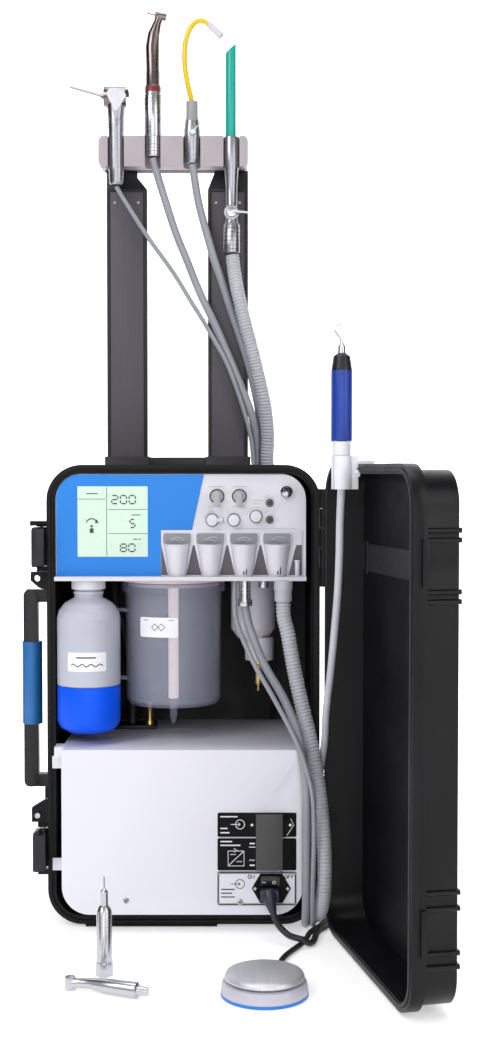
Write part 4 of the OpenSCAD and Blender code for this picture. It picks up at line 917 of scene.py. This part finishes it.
def mark_cover():
    head, slot = [(0, 3.3), (0.9, 3.2), (1.5, 2.5)], ((2, 0.4), (0.4, 2))
    for k, (x, y, z) in enumerate(((-62.1, -40.02, 40.7), (63.7, -41.08, 39.6)), 1):
        place(turned("cover_screw_%d" % k, head, (x, y, z), "-y", 28), "case", steel)
        # painted shade: the cross slot in each screw head is a thin black plate, dark where the slot lies in
        # shade
        cuts = [block("cut", x - a, x + a, y - 1.62, y - 1.4, z - b, z + b, 0) for a, b in slot]
        place(join("screw_slot_%d" % k, cuts), "case", print_black)
    place(band("lid_mark_1", (-106, 26, 208.0), 22, 0.35, sides=56), "case", print_grey)
    place(band("lid_mark_2", (-8, 55, 208.0), 36.5, 0.35, sides=64), "case", print_grey)


def grooves(name, x, rows):
    """Dark rings round an instrument on the bar, painted shade where its grooves are; a row is z, radius and
    thickness.
    """
    m = [band("groove", (x, INSTRUMENTS_Y, z), r, t) for z, r, t in rows]
    place(join(name, m), "mast", steel_dark)


def mark_instruments():
    pts = [(-97.9, 970.4), (-95, 975.6), (-91.9, 977.6), (-83.5, 976.4), (-76.2, 973.4), (-73.8, 968),
           (-85.2, 949.8), (-88, 949.8)]
    place(outline_plate("syringe_plate", pts, 143.2, 0.6), "mast", knob_pale)
    o = finished["motor_handpiece"]
    faces_as(o, steel, lambda x, y, z: z < 973.6)
    faces_as(o, ring_red, lambda x, y, z: 973.6 <= z <= 981.4)
    faces_as(finished["saliva_valve"], adaptor_grey, lambda x, y, z: z > 940.2)
    faces_as(finished["saliva_tip"], cap_clear, lambda x, y, z: x > 24.4 and 1030 < z < 1059)
    grooves("motor_grooves", MOTOR_X, [(z, 10.82, 0.3) for z in (962, 966, 970)]
            + [(z, 9.25, 0.25) for z in (903, 907, 911)])
    grooves("suction_grooves", SUCTION_X, [(z, 10.42, 0.3) for z in range(785, 812, 5)])
    grooves("syringe_grooves", SYRINGE_X, [(z, 9.65, 0.3) for z in (938, 941.5)])


def mark_mast_and_door():
    m = [block("inlay", x + 4.5, x + 45, POST_FACE_Y, POST_FACE_Y + 0.7, 345, 858, 0.3) for x in POSTS_X]
    place(join("mast_inlays", m), "mast", inlay_grey)
    m = [turned("dot", [(0, 2), (0.6, 1.8)], (x + d, POST_FACE_Y, 845), "-y", 16, 0)
         for x in POSTS_X for d in (10, 39)]
    place(join("mast_screws", m), "mast", steel_dark)
    place(opened(block("door_strap", -144, 144, -42.8, -40.4, 404.4, 435, 0.6)), "door", strap_black)
    m = [block("clip", x, x + 12, -42.8, -38.6, 401, 438.4, 0.8) for x in (-130, 118)]
    place(opened(join("strap_clips", m)), "door", trim_black)


def split_finishes():
    faces_as(finished["side_handle"], handle_blue, lambda x, y, z: (
        abs(math.hypot(x - GRIP_X, y - GRIP_Y) - GRIP_RADIUS) < 0.35 and 220 < z < 318))
    s = finished["scaler_handpiece"]
    faces_as(s, holder_white, lambda x, y, z: z < 545.4)
    faces_as(s, trim_black, lambda x, y, z: 618.2 < z < 636.4)
    faces_as(s, steel, lambda x, y, z: z >= 636.4)
    faces_as(finished["separator"], brass, lambda x, y, z: z < 292.8)
    faces_as(finished["air_fittings"], trim_black, lambda x, y, z: z < 212.6 or x < -52)
    faces_as(finished["hose_connectors"], hose_pale, lambda x, y, z: x > 99)
    faces_as(finished["syringe_body"], steel_dark, lambda x, y, z: z > 958 and x > -102)


def finish_pedal():
    rim_from, rim_rise = 9, 2.7
    for v in finished["pedal_base"].data.vertices:
        if v.co.z > rim_from * MM:
            v.co.z += rim_rise * MM
    steps = [(0.1, 43.0), (0.5, 43.4), (3.0, 43.4), (3.4, 43.0)]
    place(turned("pedal_ring", steps, (*PEDAL_AXIS, 0), sides=96), "case", ring_blue)


show_display()
mark_panel()
mark_holders()
mark_vessels()
mark_input_plates()
mark_cover()
mark_instruments()
mark_mast_and_door()
split_finishes()
finish_pedal()
